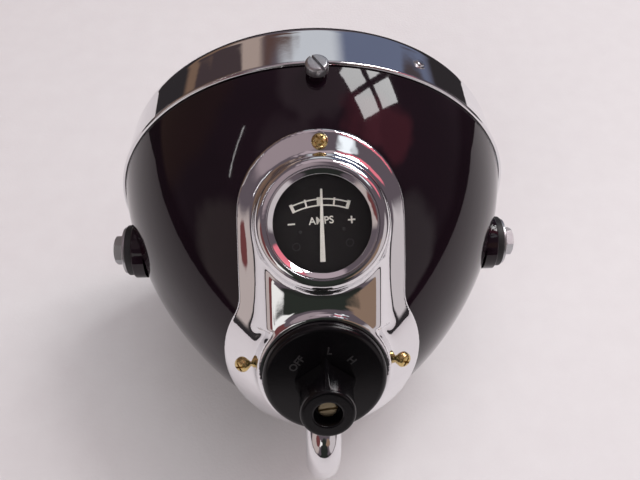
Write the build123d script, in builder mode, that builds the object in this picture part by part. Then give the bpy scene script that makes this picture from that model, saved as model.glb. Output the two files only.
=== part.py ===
from build123d import *
import math
import os

os.makedirs("parts", exist_ok=True)

# Round motorcycle headlamp with an ammeter and a lighting switch on its back.
# X points to the rider's right, +Y the way the lamp shines and +Z up.
# The origin lies midway between the two side bolts, on the lamp's own axis.

# Bowl: a side arc that runs smoothly into a round nose, turned about Y
bowl_mouth_radius = 99.5
bowl_mouth_y = 27.0
bowl_side_radius = 172.0
bowl_nose_radius = 55.0
bowl_nose_tip_y = -90.7
bowl_wall = 1.2
bowl_spigot_length = 5.0
bowl_spigot_step = 1.7

# Rim and front glass
rim_sheet = 0.9
rim_bead_radius = 1.1
rim_bead_lift = 0.5
rim_fit = 0.3
rim_depth = 31.0
rim_roll_radius = 9.3
rim_taper = 1.8
rim_lip_width = 2.6
lens_thickness = 4.0
lens_dome_height = 13.0
lens_flange_thickness = 4.5
lens_flange_width = 5.0
seal_thickness = 2.0
clip_angle = 10.0
clip_sheet = 0.9
clip_foot_overhang = 3.9
rivet_count = 3
rivet_start_angle = 28.5
rivet_setback = 18.0
rivet_head_radius = 3.1
rivet_shank_radius = 1.5
rivet_head_height = 1.3
rivet_head_round = 1.2
rivet_tail_height = 0.65

# Rim screw at the top of the bowl
rim_screw_setback = 4.3
rim_screw_head_radius = 5.0
rim_screw_head_height = 4.7
rim_screw_head_round = 1.0
rim_screw_shank_radius = 2.5
rim_screw_length = 12.0
rim_screw_slot = 1.3
rim_screw_slot_depth = 1.6
rim_screw_slot_angle = -59.0
rim_screw_boss_radius = 3.5
rim_screw_nut_flats = 8.0
rim_screw_nut_height = 4.0

# Reflector and bulbs
reflector_sheet = 1.0
reflector_focus = 25.0
reflector_neck_radius = 14.0
reflector_neck_length = 8.0
reflector_mouth_inset = 1.5
reflector_stations = 5
bulb_cap_radius = 9.8
bulb_cap_length = 22.0
bulb_globe_radius = 13.0
bulb_globe_reach = 34.0
bulb_throat_radius = 9.1
holder_wall = 1.6
holder_flange_width = 4.8
pilot_drop = 40.0
pilot_cap_radius = 4.4
pilot_cap_length = 16.0
pilot_glass_length = 11.0
pilot_glass_round = 4.0
pilot_flange_width = 2.4

# Panel: one pressing over the back of the bowl
panel_sheet = 1.0
panel_gap = 0.1
plate_height = 3.0
plate_edge_round = 1.8
plate_head_radius = 35.0
plate_tilt = 45.0
plate_head_shift = 3.0
plate_tail_radius = 43.3
plate_tail_shift = 3.5
plate_waist_round = 20.0
bridge_angle = 48.0
bridge_height = 7.0
bridge_reach = 18.0
bridge_half_width = 23.0
bridge_draft = 3.5
bridge_round = 5.0

# Ammeter: its axis stands square on the bowl
ammeter_angle = 56.4
ammeter_proud = 11.0
ammeter_collar_radius = 27.0
ammeter_collar_draft = 1.2
ammeter_collar_round = 4.0
ammeter_window_radius = 19.6
ammeter_bezel_radius = 22.4
ammeter_bezel_depth = 4.6
ammeter_case_depth = 26.0
ammeter_case_wall = 0.9
ammeter_glass_thickness = 1.4
dial_depth = 2.6
dial_thickness = 0.8
needle_thickness = 0.5
needle_drop = 12.4
needle_reach = 26.5
needle_tail = 3.0
needle_tip_width = 0.85
needle_root_width = 2.5
staff_radius = 0.8
staff_length = 10.0
stud_radius = 2.0
stud_spacing = 18.0
stud_length = 12.0
stud_head_radius = 3.4
stud_head_height = 2.4
stud_nut_flats = 7.0
stud_nut_height = 3.2
movement_clearance = 3.6
strap_width = 10.0
strap_sheet = 1.2

# Switch: cover on a collar, and a knob with a pointer
switch_angle = 32.4
switch_face_y = -89.6
switch_face_z = 35.9
switch_cover_radius = 26.0
switch_cover_depth = 7.0
switch_cover_round = 2.6
switch_cover_wall = 2.6
switch_cover_skirt = 4.4
switch_collar_drop = 4.4
switch_collar_depth = 25.0
switch_collar_draft = 2.4
switch_collar_round = 1.2
switch_base_radius = 20.6
switch_base_depth = 22.0
switch_base_flange = 2.5
switch_base_flange_width = 4.0
spindle_radius = 4.0
spindle_shoulder_radius = 6.0
rotor_radius = 15.0
rotor_thickness = 6.0
knob_radius = 10.9
knob_skirt_radius = 12.6
knob_skirt_height = 7.0
knob_height = 21.5
knob_recess_radius = 5.6
knob_recess_depth = 6.5
knob_web = 3.0
knob_round = 1.0
knob_waist_round = 14.0
pointer_reach = 12.4
pointer_root_width = 4.2
pointer_tip_width = 0.9
pointer_tip_height = 3.6
flank_angle = 36.5
flank_distance = 8.3
flank_lean = 10.6
knob_screw_head_radius = 3.85
knob_screw_head_height = 2.8
knob_screw_radius = 2.0
knob_screw_length = 12.0
knob_screw_slot = 1.0
knob_screw_slot_depth = 1.1
knob_screw_slot_angle = 8.0
terminal_radius = 2.5
terminal_length = 6.0
terminal_count = 4
terminal_circle_radius = 13.4
terminal_start_angle = 45.0

# Panel screws, three alike
panel_screw_head_radius = 3.4
panel_screw_head_height = 2.4
panel_screw_radius = 1.7
panel_screw_length = 8.0
panel_screw_head_round = 1.7
panel_screw_recess = 0.9
panel_screw_recess_length = 4.1
panel_screw_recess_depth = 1.2
panel_screw_top_arc = 33.3
panel_screw_side_angle = 39.9
panel_screw_around_angle = 55.4

# Cable spout below the tip of the nose
spout_radius = 8.25
spout_wall = 1.5
spout_bend_radius = 12.0
spout_z = -8.0
spout_leg_y = -104.3
spout_drop = 22.0

# Side fixings, alike on both sides
side_seat_rise = 1.2
side_seat_depth = 6.0
side_bolt_radius = 4.0
side_bolt_length = 25.0
side_bolt_head_flats = 13.0
side_bolt_head_height = 5.3
side_washer_radius = 12.0
side_washer_thickness = 1.6
side_spacer_radius = 13.0
side_spacer_thickness = 3.4
side_nut_height = 6.5

# Fits
running_fit = 0.05
loose_fit = 0.3
thread_fit = 0.1
clip_fit = 0.15


def axis_face(y, z, angle):
    """Plane at (0, y, z) that faces backwards and upwards, by angle from -Y towards +Z."""
    turn = math.radians(angle)
    return Plane(origin=(0, y, z), x_dir=(1, 0, 0), z_dir=(0, -math.cos(turn), math.sin(turn)))


def turned(face, outline, rounds=(), arc=360):
    """Solid turned about the face's normal from (radius, height) points, with some corners rounded."""
    section = Plane(origin=face.origin, x_dir=face.x_dir, z_dir=-face.y_dir)
    with BuildPart() as piece:
        with BuildSketch(section) as profile:
            with BuildLine():
                Polyline(*outline, close=True)
            make_face()
            for corner, radius in rounds:
                fillet(profile.vertices().sort_by_distance(corner)[0], radius)
        revolve(axis=Axis(face.origin, face.z_dir), revolution_arc=arc)
    return piece.part


def ring(face, inner, outer, low, high):
    """Plain turned ring between two radii and two heights; an inner radius of 0 makes a disc."""
    return turned(face, [(inner, low), (outer, low), (outer, high), (inner, high)])


def hexagon(face, flats, low, high, bore):
    """Hexagonal head or nut across its flats, with a bore where it has one."""
    with BuildPart() as piece:
        with BuildSketch(face.offset(low)):
            RegularPolygon(radius=flats / 2, side_count=6, major_radius=False)
            if bore:
                Circle(bore, mode=Mode.SUBTRACT)
        extrude(amount=high - low)
    return piece.part


lamp_face = Plane(origin=(0, 0, 0), x_dir=(1, 0, 0), z_dir=(0, 1, 0))
switch_face = axis_face(switch_face_y, switch_face_z, switch_angle)

# Centres of the bowl's two arcs, as (radius, y)
nose_centre = (0.0, bowl_nose_tip_y + bowl_nose_radius)
mouth_to_nose = (nose_centre[0] - bowl_mouth_radius, nose_centre[1] - bowl_mouth_y)
mouth_nose_span = math.hypot(*mouth_to_nose)
mouth_nose_way = (mouth_to_nose[0] / mouth_nose_span, mouth_to_nose[1] / mouth_nose_span)
centre_span = bowl_side_radius - bowl_nose_radius
side_along = (bowl_side_radius**2 - centre_span**2 + mouth_nose_span**2) / (2 * mouth_nose_span)
side_across = math.sqrt(bowl_side_radius**2 - side_along**2)
side_centre = (
    bowl_mouth_radius + side_along * mouth_nose_way[0] + side_across * mouth_nose_way[1],
    bowl_mouth_y + side_along * mouth_nose_way[1] - side_across * mouth_nose_way[0],
)


def bowl_radius(y, grow=0.0):
    """Radius of the bowl's side arc at y, grown outwards along its normals."""
    return side_centre[0] + math.sqrt((bowl_side_radius + grow) ** 2 - (y - side_centre[1]) ** 2)


def over_bowl(point):
    """Height of a point over the bowl's outer skin, along its normal."""
    radius = math.hypot(point.X, point.Z)
    from_nose = (radius - nose_centre[0], point.Y - nose_centre[1])
    join_way = (nose_centre[0] - side_centre[0], nose_centre[1] - side_centre[1])
    if from_nose[0] * join_way[1] - from_nose[1] * join_way[0] > 0:
        return math.hypot(*from_nose) - bowl_nose_radius
    return math.hypot(radius - side_centre[0], point.Y - side_centre[1]) - bowl_side_radius


def bowl_face(angle, height, around=0.0):
    """Plane square on the bowl's side arc at a height above it; around turns it from the top to the right."""
    turn = math.radians(angle)
    swing = math.radians(around)
    reach = bowl_side_radius + height
    radius = side_centre[0] + reach * math.sin(turn)
    return Plane(
        origin=(radius * math.sin(swing), side_centre[1] - reach * math.cos(turn), radius * math.cos(swing)),
        x_dir=(math.cos(swing), 0, -math.sin(swing)),
        z_dir=(math.sin(turn) * math.sin(swing), -math.cos(turn), math.sin(turn) * math.cos(swing)),
    )


def bowl_solid(grow):
    """Solid inside the bowl's outer skin, grown outwards along its normals."""
    side = bowl_side_radius + grow
    nose = bowl_nose_radius + grow
    join_turn = math.atan2(nose_centre[1] - side_centre[1], nose_centre[0] - side_centre[0])
    mouth = (bowl_radius(bowl_mouth_y, grow), bowl_mouth_y)
    mouth_turn = math.atan2(mouth[1] - side_centre[1], mouth[0] - side_centre[0])
    tip_turn = -math.pi / 2

    def on_nose(turn):
        return (nose_centre[0] + nose * math.cos(turn), nose_centre[1] + nose * math.sin(turn))

    def on_side(turn):
        return (side_centre[0] + side * math.cos(turn), side_centre[1] + side * math.sin(turn))

    with BuildPart() as solid:
        with BuildSketch(Plane.XY):
            with BuildLine():
                ThreePointArc(on_nose(tip_turn), on_nose((tip_turn + join_turn) / 2), on_nose(join_turn))
                ThreePointArc(on_side(join_turn), on_side((join_turn + mouth_turn) / 2), mouth)
                Polyline(mouth, (0, bowl_mouth_y), on_nose(tip_turn))
            make_face()
        revolve(axis=Axis.Y)
    return solid.part


ammeter_face = bowl_face(ammeter_angle, ammeter_proud)
plate_face = axis_face(0, 0, plate_tilt)
plate_head_v = plate_face.to_local_coords(bowl_face(ammeter_angle, 0).origin).Y + plate_head_shift
plate_tail_v = plate_face.to_local_coords(switch_face.origin).Y + plate_tail_shift
bridge_face = bowl_face(bridge_angle, bridge_height)
spout_face = Plane(origin=(0, bowl_nose_tip_y, spout_z), x_dir=(1, 0, 0), z_dir=(0, -1, 0))

# Faces that carry the panel's screws, all square on the plate
top_screw_angle = ammeter_angle + math.degrees(panel_screw_top_arc / bowl_side_radius)
screw_faces = [
    bowl_face(top_screw_angle, plate_height),
    bowl_face(panel_screw_side_angle, plate_height, panel_screw_around_angle),
    bowl_face(panel_screw_side_angle, plate_height, -panel_screw_around_angle),
]
collar_top_radius = switch_cover_radius + loose_fit + 2 * panel_sheet

# Rim stations along Y and the seats behind its lip
rim_rear_y = bowl_mouth_y + rim_fit
rim_front_y = rim_rear_y + rim_depth
rim_outer_radius = bowl_mouth_radius + rim_fit + rim_sheet
rim_bead_centre_radius = rim_outer_radius + rim_bead_lift - rim_bead_radius
rim_front_radius = rim_outer_radius - rim_taper
rim_roll_y = rim_front_y - rim_roll_radius
rim_roll_centre_radius = rim_front_radius - rim_roll_radius
rim_lip_radius = rim_roll_centre_radius - rim_lip_width
lip_seat_y = rim_front_y - rim_sheet
lens_front_y = lip_seat_y - seal_thickness
lens_back_y = lens_front_y - lens_flange_thickness
lens_edge_radius = rim_lip_radius + lens_flange_width
lens_dome_radius = rim_lip_radius - loose_fit
reflector_back_y = lens_back_y - reflector_sheet
reflector_mouth_radius = lens_dome_radius - reflector_mouth_inset
reflector_vertex_y = reflector_back_y - reflector_mouth_radius**2 / (4 * reflector_focus)


def rim_band_radius(y):
    """Outer radius of the rim's tapering band at y."""
    return rim_outer_radius - rim_taper * (y - rim_rear_y) / (rim_roll_y - rim_rear_y)


rivet_y = rim_front_y - rivet_setback
rivet_grip = rim_sheet + clip_fit + clip_sheet + thread_fit
band_slope = math.atan2(rim_taper, rim_roll_y - rim_rear_y)
rivet_faces = []
for index in range(rivet_count):
    around = math.radians(rivet_start_angle + 360 * index / rivet_count)
    out = Vector(math.sin(around), 0, math.cos(around))
    rivet_faces.append(
        Plane(
            origin=out * rim_band_radius(rivet_y) + Vector(0, rivet_y, 0),
            z_dir=out * math.cos(band_slope) + Vector(0, math.sin(band_slope), 0),
        )
    )

rim_screw_y = bowl_mouth_y - rim_screw_setback
rim_screw_seat_z = rim_outer_radius + rim_bead_lift + loose_fit
rim_screw_face = Plane(origin=(0, rim_screw_y, rim_screw_seat_z), x_dir=(1, 0, 0), z_dir=(0, 0, 1))
rim_screw_nut_seat = bowl_radius(rim_screw_y, -bowl_wall) - rim_screw_seat_z - 2 * bowl_wall

side_seat_x = bowl_radius(0) + side_seat_rise
side_faces = {
    "right": Plane(origin=(side_seat_x, 0, 0), x_dir=(0, 1, 0), z_dir=(1, 0, 0)),
    "left": Plane(origin=(-side_seat_x, 0, 0), x_dir=(0, 1, 0), z_dir=(-1, 0, 0)),
}

# Shell: deep bowl with a stepped mouth, side bosses, a panel opening and threaded bushes
collar_bore_radius = ammeter_bezel_radius + loose_fit
switch_opening_radius = collar_top_radius - panel_sheet
spigot_radius = bowl_mouth_radius - bowl_spigot_step
side_boss_radius = side_spacer_radius + loose_fit + bowl_wall

with BuildPart() as bushes:
    for face in screw_faces:
        add(ring(face, 0, panel_screw_head_radius, -panel_screw_length, 0))
    for face in side_faces.values():
        add(ring(face, 0, side_boss_radius, -side_seat_depth, 2 * side_seat_depth))
    add(bowl_solid(-bowl_wall / 2), mode=Mode.INTERSECT)

with BuildPart() as shell:
    add(bowl_solid(0))
    add(bowl_solid(-bowl_wall), mode=Mode.SUBTRACT)
    for face in side_faces.values():
        add(ring(face, 0, side_boss_radius, -side_seat_depth, 0))
    add(ring(ammeter_face, 0, ammeter_collar_radius - panel_sheet, -2 * ammeter_case_depth, 0),
        mode=Mode.SUBTRACT)
    add(ring(switch_face, 0, switch_opening_radius, -2 * switch_base_depth, 0), mode=Mode.SUBTRACT)
    with BuildSketch(plate_face):
        Rectangle(2 * (bridge_half_width - bridge_round), 2 * plate_head_radius)
    extrude(amount=2 * bowl_mouth_radius, mode=Mode.SUBTRACT)
    add(bushes.part)
    for face in screw_faces:
        add(ring(face, 0, panel_screw_radius + thread_fit, -2 * panel_screw_length, panel_screw_length),
            mode=Mode.SUBTRACT)
    for face in side_faces.values():
        add(ring(face, 0, side_spacer_radius + loose_fit, 0, 2 * side_seat_depth), mode=Mode.SUBTRACT)
        add(ring(face, 0, side_bolt_radius + thread_fit, -side_seat_depth, 0), mode=Mode.SUBTRACT)
    add(ring(lamp_face, spigot_radius - bowl_wall, bowl_mouth_radius - bowl_wall / 2,
             bowl_mouth_y - bowl_wall, bowl_mouth_y))
    add(ring(lamp_face, spigot_radius - bowl_wall, spigot_radius, bowl_mouth_y - bowl_wall,
             bowl_mouth_y + bowl_spigot_length))
    add(ring(rim_screw_face, 0, rim_screw_boss_radius, rim_screw_nut_seat, 0))
    add(ring(rim_screw_face, 0, rim_screw_shank_radius + thread_fit, rim_screw_nut_seat, 0),
        mode=Mode.SUBTRACT)
    add(ring(spout_face, 0, spout_radius + loose_fit, -bowl_nose_radius, bowl_nose_radius),
        mode=Mode.SUBTRACT)

# Rim: beaded rear edge, tapering band, round roll and a flat lip over the glass
with BuildPart() as rim:
    with BuildSketch(Plane.XY):
        with BuildLine():
            roll_cos = math.cos(math.pi / 4)
            roll_sheet = rim_roll_radius - rim_sheet
            Line((rim_outer_radius, rim_rear_y), (rim_front_radius, rim_roll_y))
            ThreePointArc(
                (rim_front_radius, rim_roll_y),
                (rim_roll_centre_radius + rim_roll_radius * roll_cos, rim_roll_y + rim_roll_radius * roll_cos),
                (rim_roll_centre_radius, rim_front_y),
            )
            Polyline(
                (rim_roll_centre_radius, rim_front_y),
                (rim_lip_radius, rim_front_y),
                (rim_lip_radius, lip_seat_y),
                (rim_roll_centre_radius, lip_seat_y),
            )
            ThreePointArc(
                (rim_roll_centre_radius, lip_seat_y),
                (rim_roll_centre_radius + roll_sheet * roll_cos, rim_roll_y + roll_sheet * roll_cos),
                (rim_front_radius - rim_sheet, rim_roll_y),
            )
            Polyline(
                (rim_front_radius - rim_sheet, rim_roll_y),
                (rim_outer_radius - rim_sheet, rim_rear_y),
                (rim_outer_radius, rim_rear_y),
            )
        make_face()
        with Locations((rim_bead_centre_radius, rim_rear_y + rim_bead_radius)):
            Circle(rim_bead_radius)
    revolve(axis=Axis.Y)
    for face in rivet_faces:
        add(ring(face, 0, rivet_shank_radius + thread_fit, -rivet_setback, rivet_setback), mode=Mode.SUBTRACT)

with BuildPart() as rim_rivets:
    for face in rivet_faces:
        add(turned(face, [(0, -rivet_grip), (rivet_shank_radius, -rivet_grip), (rivet_shank_radius, 0),
                          (rivet_head_radius, 0), (rivet_head_radius, rivet_head_height),
                          (0, rivet_head_height)],
                   rounds=[((rivet_head_radius, rivet_head_height), rivet_head_round)]))
        add(ring(face, 0, rivet_head_radius, -rivet_grip - rivet_tail_height, -rivet_grip))

# Spring clips: a foot under the rim's band and a leg that presses on the reflector's flange
with BuildPart() as reflector_clips:
    foot_rear_y = rivet_y - clip_foot_overhang
    leg_reach = lens_edge_radius - lens_flange_width / 2
    for index in range(rivet_count):
        start = math.radians(rivet_start_angle + 360 * index / rivet_count - clip_angle / 2)
        start_face = Plane(origin=(0, 0, 0), x_dir=(math.sin(start), 0, math.cos(start)), z_dir=(0, 1, 0))
        foot_rear_radius = rim_band_radius(foot_rear_y) - rim_sheet - clip_fit
        foot_front_radius = rim_band_radius(rim_roll_y) - rim_sheet - clip_fit
        add(turned(start_face, [(foot_rear_radius - clip_sheet, foot_rear_y), (foot_rear_radius, foot_rear_y),
                                (foot_front_radius, reflector_back_y), (leg_reach, reflector_back_y),
                                (leg_reach, reflector_back_y - clip_sheet),
                                (foot_front_radius - clip_sheet, reflector_back_y - clip_sheet)],
                   arc=clip_angle))
    for face in rivet_faces:
        add(ring(face, 0, rivet_shank_radius + thread_fit, -rivet_setback, rivet_setback), mode=Mode.SUBTRACT)

# Rim screw with a slotted head, and its nut under the bowl's wall
with BuildPart() as rim_screw:
    add(turned(rim_screw_face, [(0, -rim_screw_length), (rim_screw_shank_radius, -rim_screw_length),
                                (rim_screw_shank_radius, 0), (rim_screw_head_radius, 0),
                                (rim_screw_head_radius, rim_screw_head_height), (0, rim_screw_head_height)],
               rounds=[((rim_screw_head_radius, rim_screw_head_height), rim_screw_head_round)]))
    with BuildSketch(rim_screw_face.offset(rim_screw_head_height)):
        Rectangle(3 * rim_screw_head_radius, rim_screw_slot, rotation=rim_screw_slot_angle)
    extrude(amount=-rim_screw_slot_depth, mode=Mode.SUBTRACT)

with BuildPart() as rim_screw_nut:
    add(hexagon(rim_screw_face, rim_screw_nut_flats, rim_screw_nut_seat - rim_screw_nut_height,
                rim_screw_nut_seat, rim_screw_shank_radius + thread_fit))

# Front glass: a shallow dome on a flat flange
with BuildPart() as lens:
    with BuildSketch(Plane.XY):
        with BuildLine():
            dome_sphere = (lens_dome_radius**2 + lens_dome_height**2) / (2 * lens_dome_height)
            dome_top_y = lens_front_y + lens_dome_height
            dome_centre_y = dome_top_y - dome_sphere
            half_way = lens_dome_radius / 2
            inner_sphere = dome_sphere - lens_thickness
            inner_edge = math.sqrt(inner_sphere**2 - (lens_back_y - dome_centre_y) ** 2)
            ThreePointArc(
                (0, dome_top_y),
                (half_way, dome_centre_y + math.sqrt(dome_sphere**2 - half_way**2)),
                (lens_dome_radius, lens_front_y),
            )
            Polyline((lens_dome_radius, lens_front_y), (lens_edge_radius, lens_front_y),
                     (lens_edge_radius, lens_back_y), (inner_edge, lens_back_y))
            ThreePointArc(
                (inner_edge, lens_back_y),
                (half_way, dome_centre_y + math.sqrt(inner_sphere**2 - half_way**2)),
                (0, dome_centre_y + inner_sphere),
            )
            Line((0, dome_centre_y + inner_sphere), (0, dome_top_y))
        make_face()
    revolve(axis=Axis.Y)

with BuildPart() as lens_seal:
    add(ring(lamp_face, rim_lip_radius + loose_fit, rim_roll_centre_radius, lens_front_y, lip_seat_y))


def parabola(radius, grow=0.0):
    """Point (radius, y) on the reflector's bowl, grown outwards along its normal."""
    normal = math.hypot(2 * radius, 4 * reflector_focus)
    y = reflector_vertex_y + radius**2 / (4 * reflector_focus)
    return (radius + grow * 2 * radius / normal, y - grow * 4 * reflector_focus / normal)


def parabola_solid(grow):
    """Solid inside the reflector's bowl, from its flange back to the bulb's neck."""
    step = (reflector_mouth_radius - reflector_neck_radius) / (reflector_stations - 1)
    skin = [parabola(reflector_neck_radius + step * station, grow) for station in range(reflector_stations)]
    with BuildPart() as solid:
        with BuildSketch(Plane.XY):
            with BuildLine():
                Spline(*skin)
                Polyline(skin[-1], (skin[-1][0], lens_back_y), (0, lens_back_y), (0, skin[0][1]), skin[0])
            make_face()
        revolve(axis=Axis.Y)
    return solid.part


# Reflector: parabolic bowl with a flange, a neck for the main bulb and a socket for the pilot bulb
pilot_face = Plane(origin=(0, 0, -pilot_drop), x_dir=(1, 0, 0), z_dir=(0, 1, 0))
pilot_holder_radius = pilot_cap_radius + thread_fit + reflector_sheet
pilot_seat_y = parabola(pilot_drop)[1] - pilot_cap_length / 2 - reflector_sheet
neck_front_y = parabola(reflector_neck_radius)[1]
neck_rear_y = neck_front_y - reflector_neck_length

with BuildPart() as reflector:
    add(parabola_solid(reflector_sheet))
    add(ring(lamp_face, 0, lens_edge_radius, reflector_back_y, lens_back_y))
    add(ring(lamp_face, 0, reflector_neck_radius + reflector_sheet, neck_rear_y, neck_front_y))
    add(ring(pilot_face, 0, pilot_holder_radius + loose_fit + reflector_sheet, pilot_seat_y,
             parabola(pilot_drop)[1]))
    add(parabola_solid(0), mode=Mode.SUBTRACT)
    add(ring(lamp_face, 0, reflector_neck_radius, neck_rear_y, lens_back_y), mode=Mode.SUBTRACT)
    add(ring(pilot_face, 0, pilot_holder_radius + loose_fit, pilot_seat_y, lens_back_y), mode=Mode.SUBTRACT)

# Main bulb: holder in the neck, cap and glass
bulb_cap_front_y = neck_front_y + holder_wall
bulb_cap_rear_y = bulb_cap_front_y - bulb_cap_length

with BuildPart() as main_bulb_holder:
    add(ring(lamp_face, bulb_cap_radius + thread_fit, reflector_neck_radius - thread_fit,
             bulb_cap_rear_y, neck_front_y))
    add(ring(lamp_face, bulb_cap_radius + thread_fit, reflector_neck_radius + holder_flange_width,
             neck_rear_y - holder_wall, neck_rear_y))
    add(ring(lamp_face, 0, reflector_neck_radius - thread_fit, bulb_cap_rear_y - holder_wall, bulb_cap_rear_y))

with BuildPart() as main_bulb_cap:
    add(ring(lamp_face, 0, bulb_cap_radius, bulb_cap_rear_y, bulb_cap_front_y))

with BuildPart() as main_bulb_glass:
    with BuildSketch(Plane.XY):
        with BuildLine():
            globe_y = bulb_cap_front_y + bulb_globe_reach - bulb_globe_radius
            throat_y = globe_y - math.sqrt(bulb_globe_radius**2 - bulb_throat_radius**2)
            Polyline((0, bulb_globe_reach + bulb_cap_front_y), (0, bulb_cap_front_y),
                     (bulb_cap_radius - holder_wall, bulb_cap_front_y), (bulb_throat_radius, throat_y))
            ThreePointArc((bulb_throat_radius, throat_y), (bulb_globe_radius, globe_y),
                          (0, bulb_globe_reach + bulb_cap_front_y))
        make_face()
    revolve(axis=Axis.Y)

# Pilot bulb: holder in the reflector's socket, cap and glass
pilot_cap_rear_y = pilot_seat_y - holder_wall
pilot_cap_front_y = pilot_cap_rear_y + pilot_cap_length

with BuildPart() as pilot_bulb_holder:
    add(ring(pilot_face, pilot_cap_radius + thread_fit, pilot_holder_radius, pilot_cap_rear_y,
             pilot_seat_y + pilot_cap_length / 2))
    add(ring(pilot_face, 0, pilot_holder_radius + pilot_flange_width, pilot_seat_y - 2 * holder_wall,
             pilot_cap_rear_y))
    add(ring(pilot_face, pilot_cap_radius + thread_fit, pilot_holder_radius + pilot_flange_width,
             pilot_cap_rear_y, pilot_seat_y))

with BuildPart() as pilot_bulb_cap:
    add(ring(pilot_face, 0, pilot_cap_radius, pilot_cap_rear_y, pilot_cap_front_y))

with BuildPart() as pilot_bulb_glass:
    add(turned(pilot_face, [(0, pilot_cap_front_y), (pilot_cap_radius, pilot_cap_front_y),
                            (pilot_cap_radius, pilot_cap_front_y + pilot_glass_length),
                            (0, pilot_cap_front_y + pilot_glass_length)],
               rounds=[((pilot_cap_radius, pilot_cap_front_y + pilot_glass_length), pilot_glass_round)]))


def plate_prism(shrink):
    """Prism of the plate's outline, square to the plate's own tilt."""
    with BuildPart() as prism:
        with BuildSketch(plate_face) as outline:
            with Locations((0, plate_head_v)):
                Circle(plate_head_radius - shrink)
            with Locations((0, plate_tail_v)):
                Circle(plate_tail_radius - shrink)
            with Locations((0, (plate_head_v + plate_tail_v) / 2)):
                Rectangle(2 * (plate_head_radius - shrink), plate_head_v - plate_tail_v)
            waist = outline.vertices().group_by(Axis.Y)[0]
            fillet(waist, plate_waist_round + shrink)
        extrude(amount=2 * bowl_mouth_radius)
    return prism.part


def ammeter_boss(shrink):
    """Solid of the panel's ammeter collar."""
    foot = -2 * ammeter_proud - shrink
    top_radius = ammeter_collar_radius - shrink
    root_radius = top_radius + ammeter_collar_draft
    rounds = [((top_radius, -shrink), ammeter_collar_round - shrink)]
    return turned(ammeter_face, [(0, foot), (root_radius, foot), (top_radius, -shrink), (0, -shrink)], rounds)


def switch_collar(shrink):
    """Solid of the panel's switch collar."""
    foot = -switch_collar_depth - shrink
    top = -switch_collar_drop - shrink
    top_radius = collar_top_radius - shrink
    root_radius = top_radius + switch_collar_draft
    rounds = [((top_radius, top), switch_collar_round)]
    return turned(switch_face, [(0, foot), (root_radius, foot), (top_radius, top), (0, top)], rounds)


def bridge(shrink):
    """Solid of the panel's bridge between the two collars, an arch with sloping sides."""
    top = bridge_half_width - shrink
    base = top + bridge_draft
    section = Plane(origin=bridge_face.origin, x_dir=bridge_face.x_dir, z_dir=-bridge_face.y_dir)
    with BuildPart() as arch:
        with BuildSketch(section) as profile:
            with BuildLine():
                Polyline((-base, -2 * bridge_height), (base, -2 * bridge_height), (top, -shrink),
                         (-top, -shrink), close=True)
            make_face()
            fillet(profile.vertices().group_by(Axis.Y)[-1], bridge_round - shrink)
        extrude(amount=bridge_reach, both=True)
    return arch.part


# Panel: plate, two collars and a bridge as one hollow pressing, with the cable spout brazed in
spout_path_start = Vector(0, bowl_nose_tip_y + spout_radius, spout_z)
spout_path_corner = Vector(0, spout_leg_y, spout_z)
spout_path_end = Vector(0, spout_leg_y, spout_z - spout_drop)


def spout_tube(radius):
    """Round bar along the spout's elbow."""
    with BuildPart() as bar:
        with BuildLine() as path:
            FilletPolyline(spout_path_start, spout_path_corner, spout_path_end, radius=spout_bend_radius)
        with BuildSketch(Plane(origin=spout_path_start, x_dir=(1, 0, 0), z_dir=(0, -1, 0))):
            Circle(radius)
        sweep(path=path.line)
    return bar.part


with BuildPart() as plate_void:
    add(plate_prism(panel_sheet))
    add(bowl_solid(plate_height - panel_sheet), mode=Mode.INTERSECT)

ammeter_case_radius = ammeter_bezel_radius - ammeter_case_wall
ammeter_ledge = -ammeter_bezel_depth
switch_ledge = -switch_cover_depth

with BuildPart() as plate:
    add(plate_prism(0))
    add(bowl_solid(plate_height), mode=Mode.INTERSECT)
    top_edges = plate.edges().filter_by(lambda edge: abs(over_bowl(edge @ 0.5) - plate_height) < thread_fit)
    fillet(top_edges.filter_by(GeomType.BSPLINE), plate_edge_round)

with BuildPart() as panel:
    add(plate.part)
    add(ammeter_boss(0))
    add(bridge(0))
    add(switch_collar(0))
    add(spout_tube(spout_radius))
    add(plate_void.part, mode=Mode.SUBTRACT)
    add(ammeter_boss(panel_sheet), mode=Mode.SUBTRACT)
    add(bridge(panel_sheet), mode=Mode.SUBTRACT)
    add(switch_collar(panel_sheet), mode=Mode.SUBTRACT)
    add(spout_tube(spout_radius - spout_wall), mode=Mode.SUBTRACT)
    add(ring(ammeter_face, 0, collar_bore_radius, ammeter_ledge, 0), mode=Mode.SUBTRACT)
    add(ring(ammeter_face, collar_bore_radius, collar_bore_radius + panel_sheet, ammeter_ledge - panel_sheet,
             -panel_sheet / 2))
    add(ring(ammeter_face, ammeter_case_radius + loose_fit, collar_bore_radius + panel_sheet,
             ammeter_ledge - panel_sheet, ammeter_ledge))
    add(ring(switch_face, 0, switch_cover_radius + loose_fit, switch_ledge, 0), mode=Mode.SUBTRACT)
    add(ring(switch_face, switch_cover_radius + loose_fit, collar_top_radius - panel_sheet / 2,
             switch_ledge - panel_sheet, -switch_collar_drop - panel_sheet / 2))
    add(ring(switch_face, switch_base_radius + loose_fit, collar_top_radius - panel_sheet / 2,
             switch_ledge - panel_sheet, switch_ledge))
    for face in screw_faces:
        add(ring(face, 0, panel_screw_head_radius, -2 * plate_height, -panel_sheet / 2))
        add(ring(face, 0, panel_screw_radius + thread_fit, -panel_screw_length, plate_height),
            mode=Mode.SUBTRACT)
    add(bowl_solid(panel_gap), mode=Mode.SUBTRACT)

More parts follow.
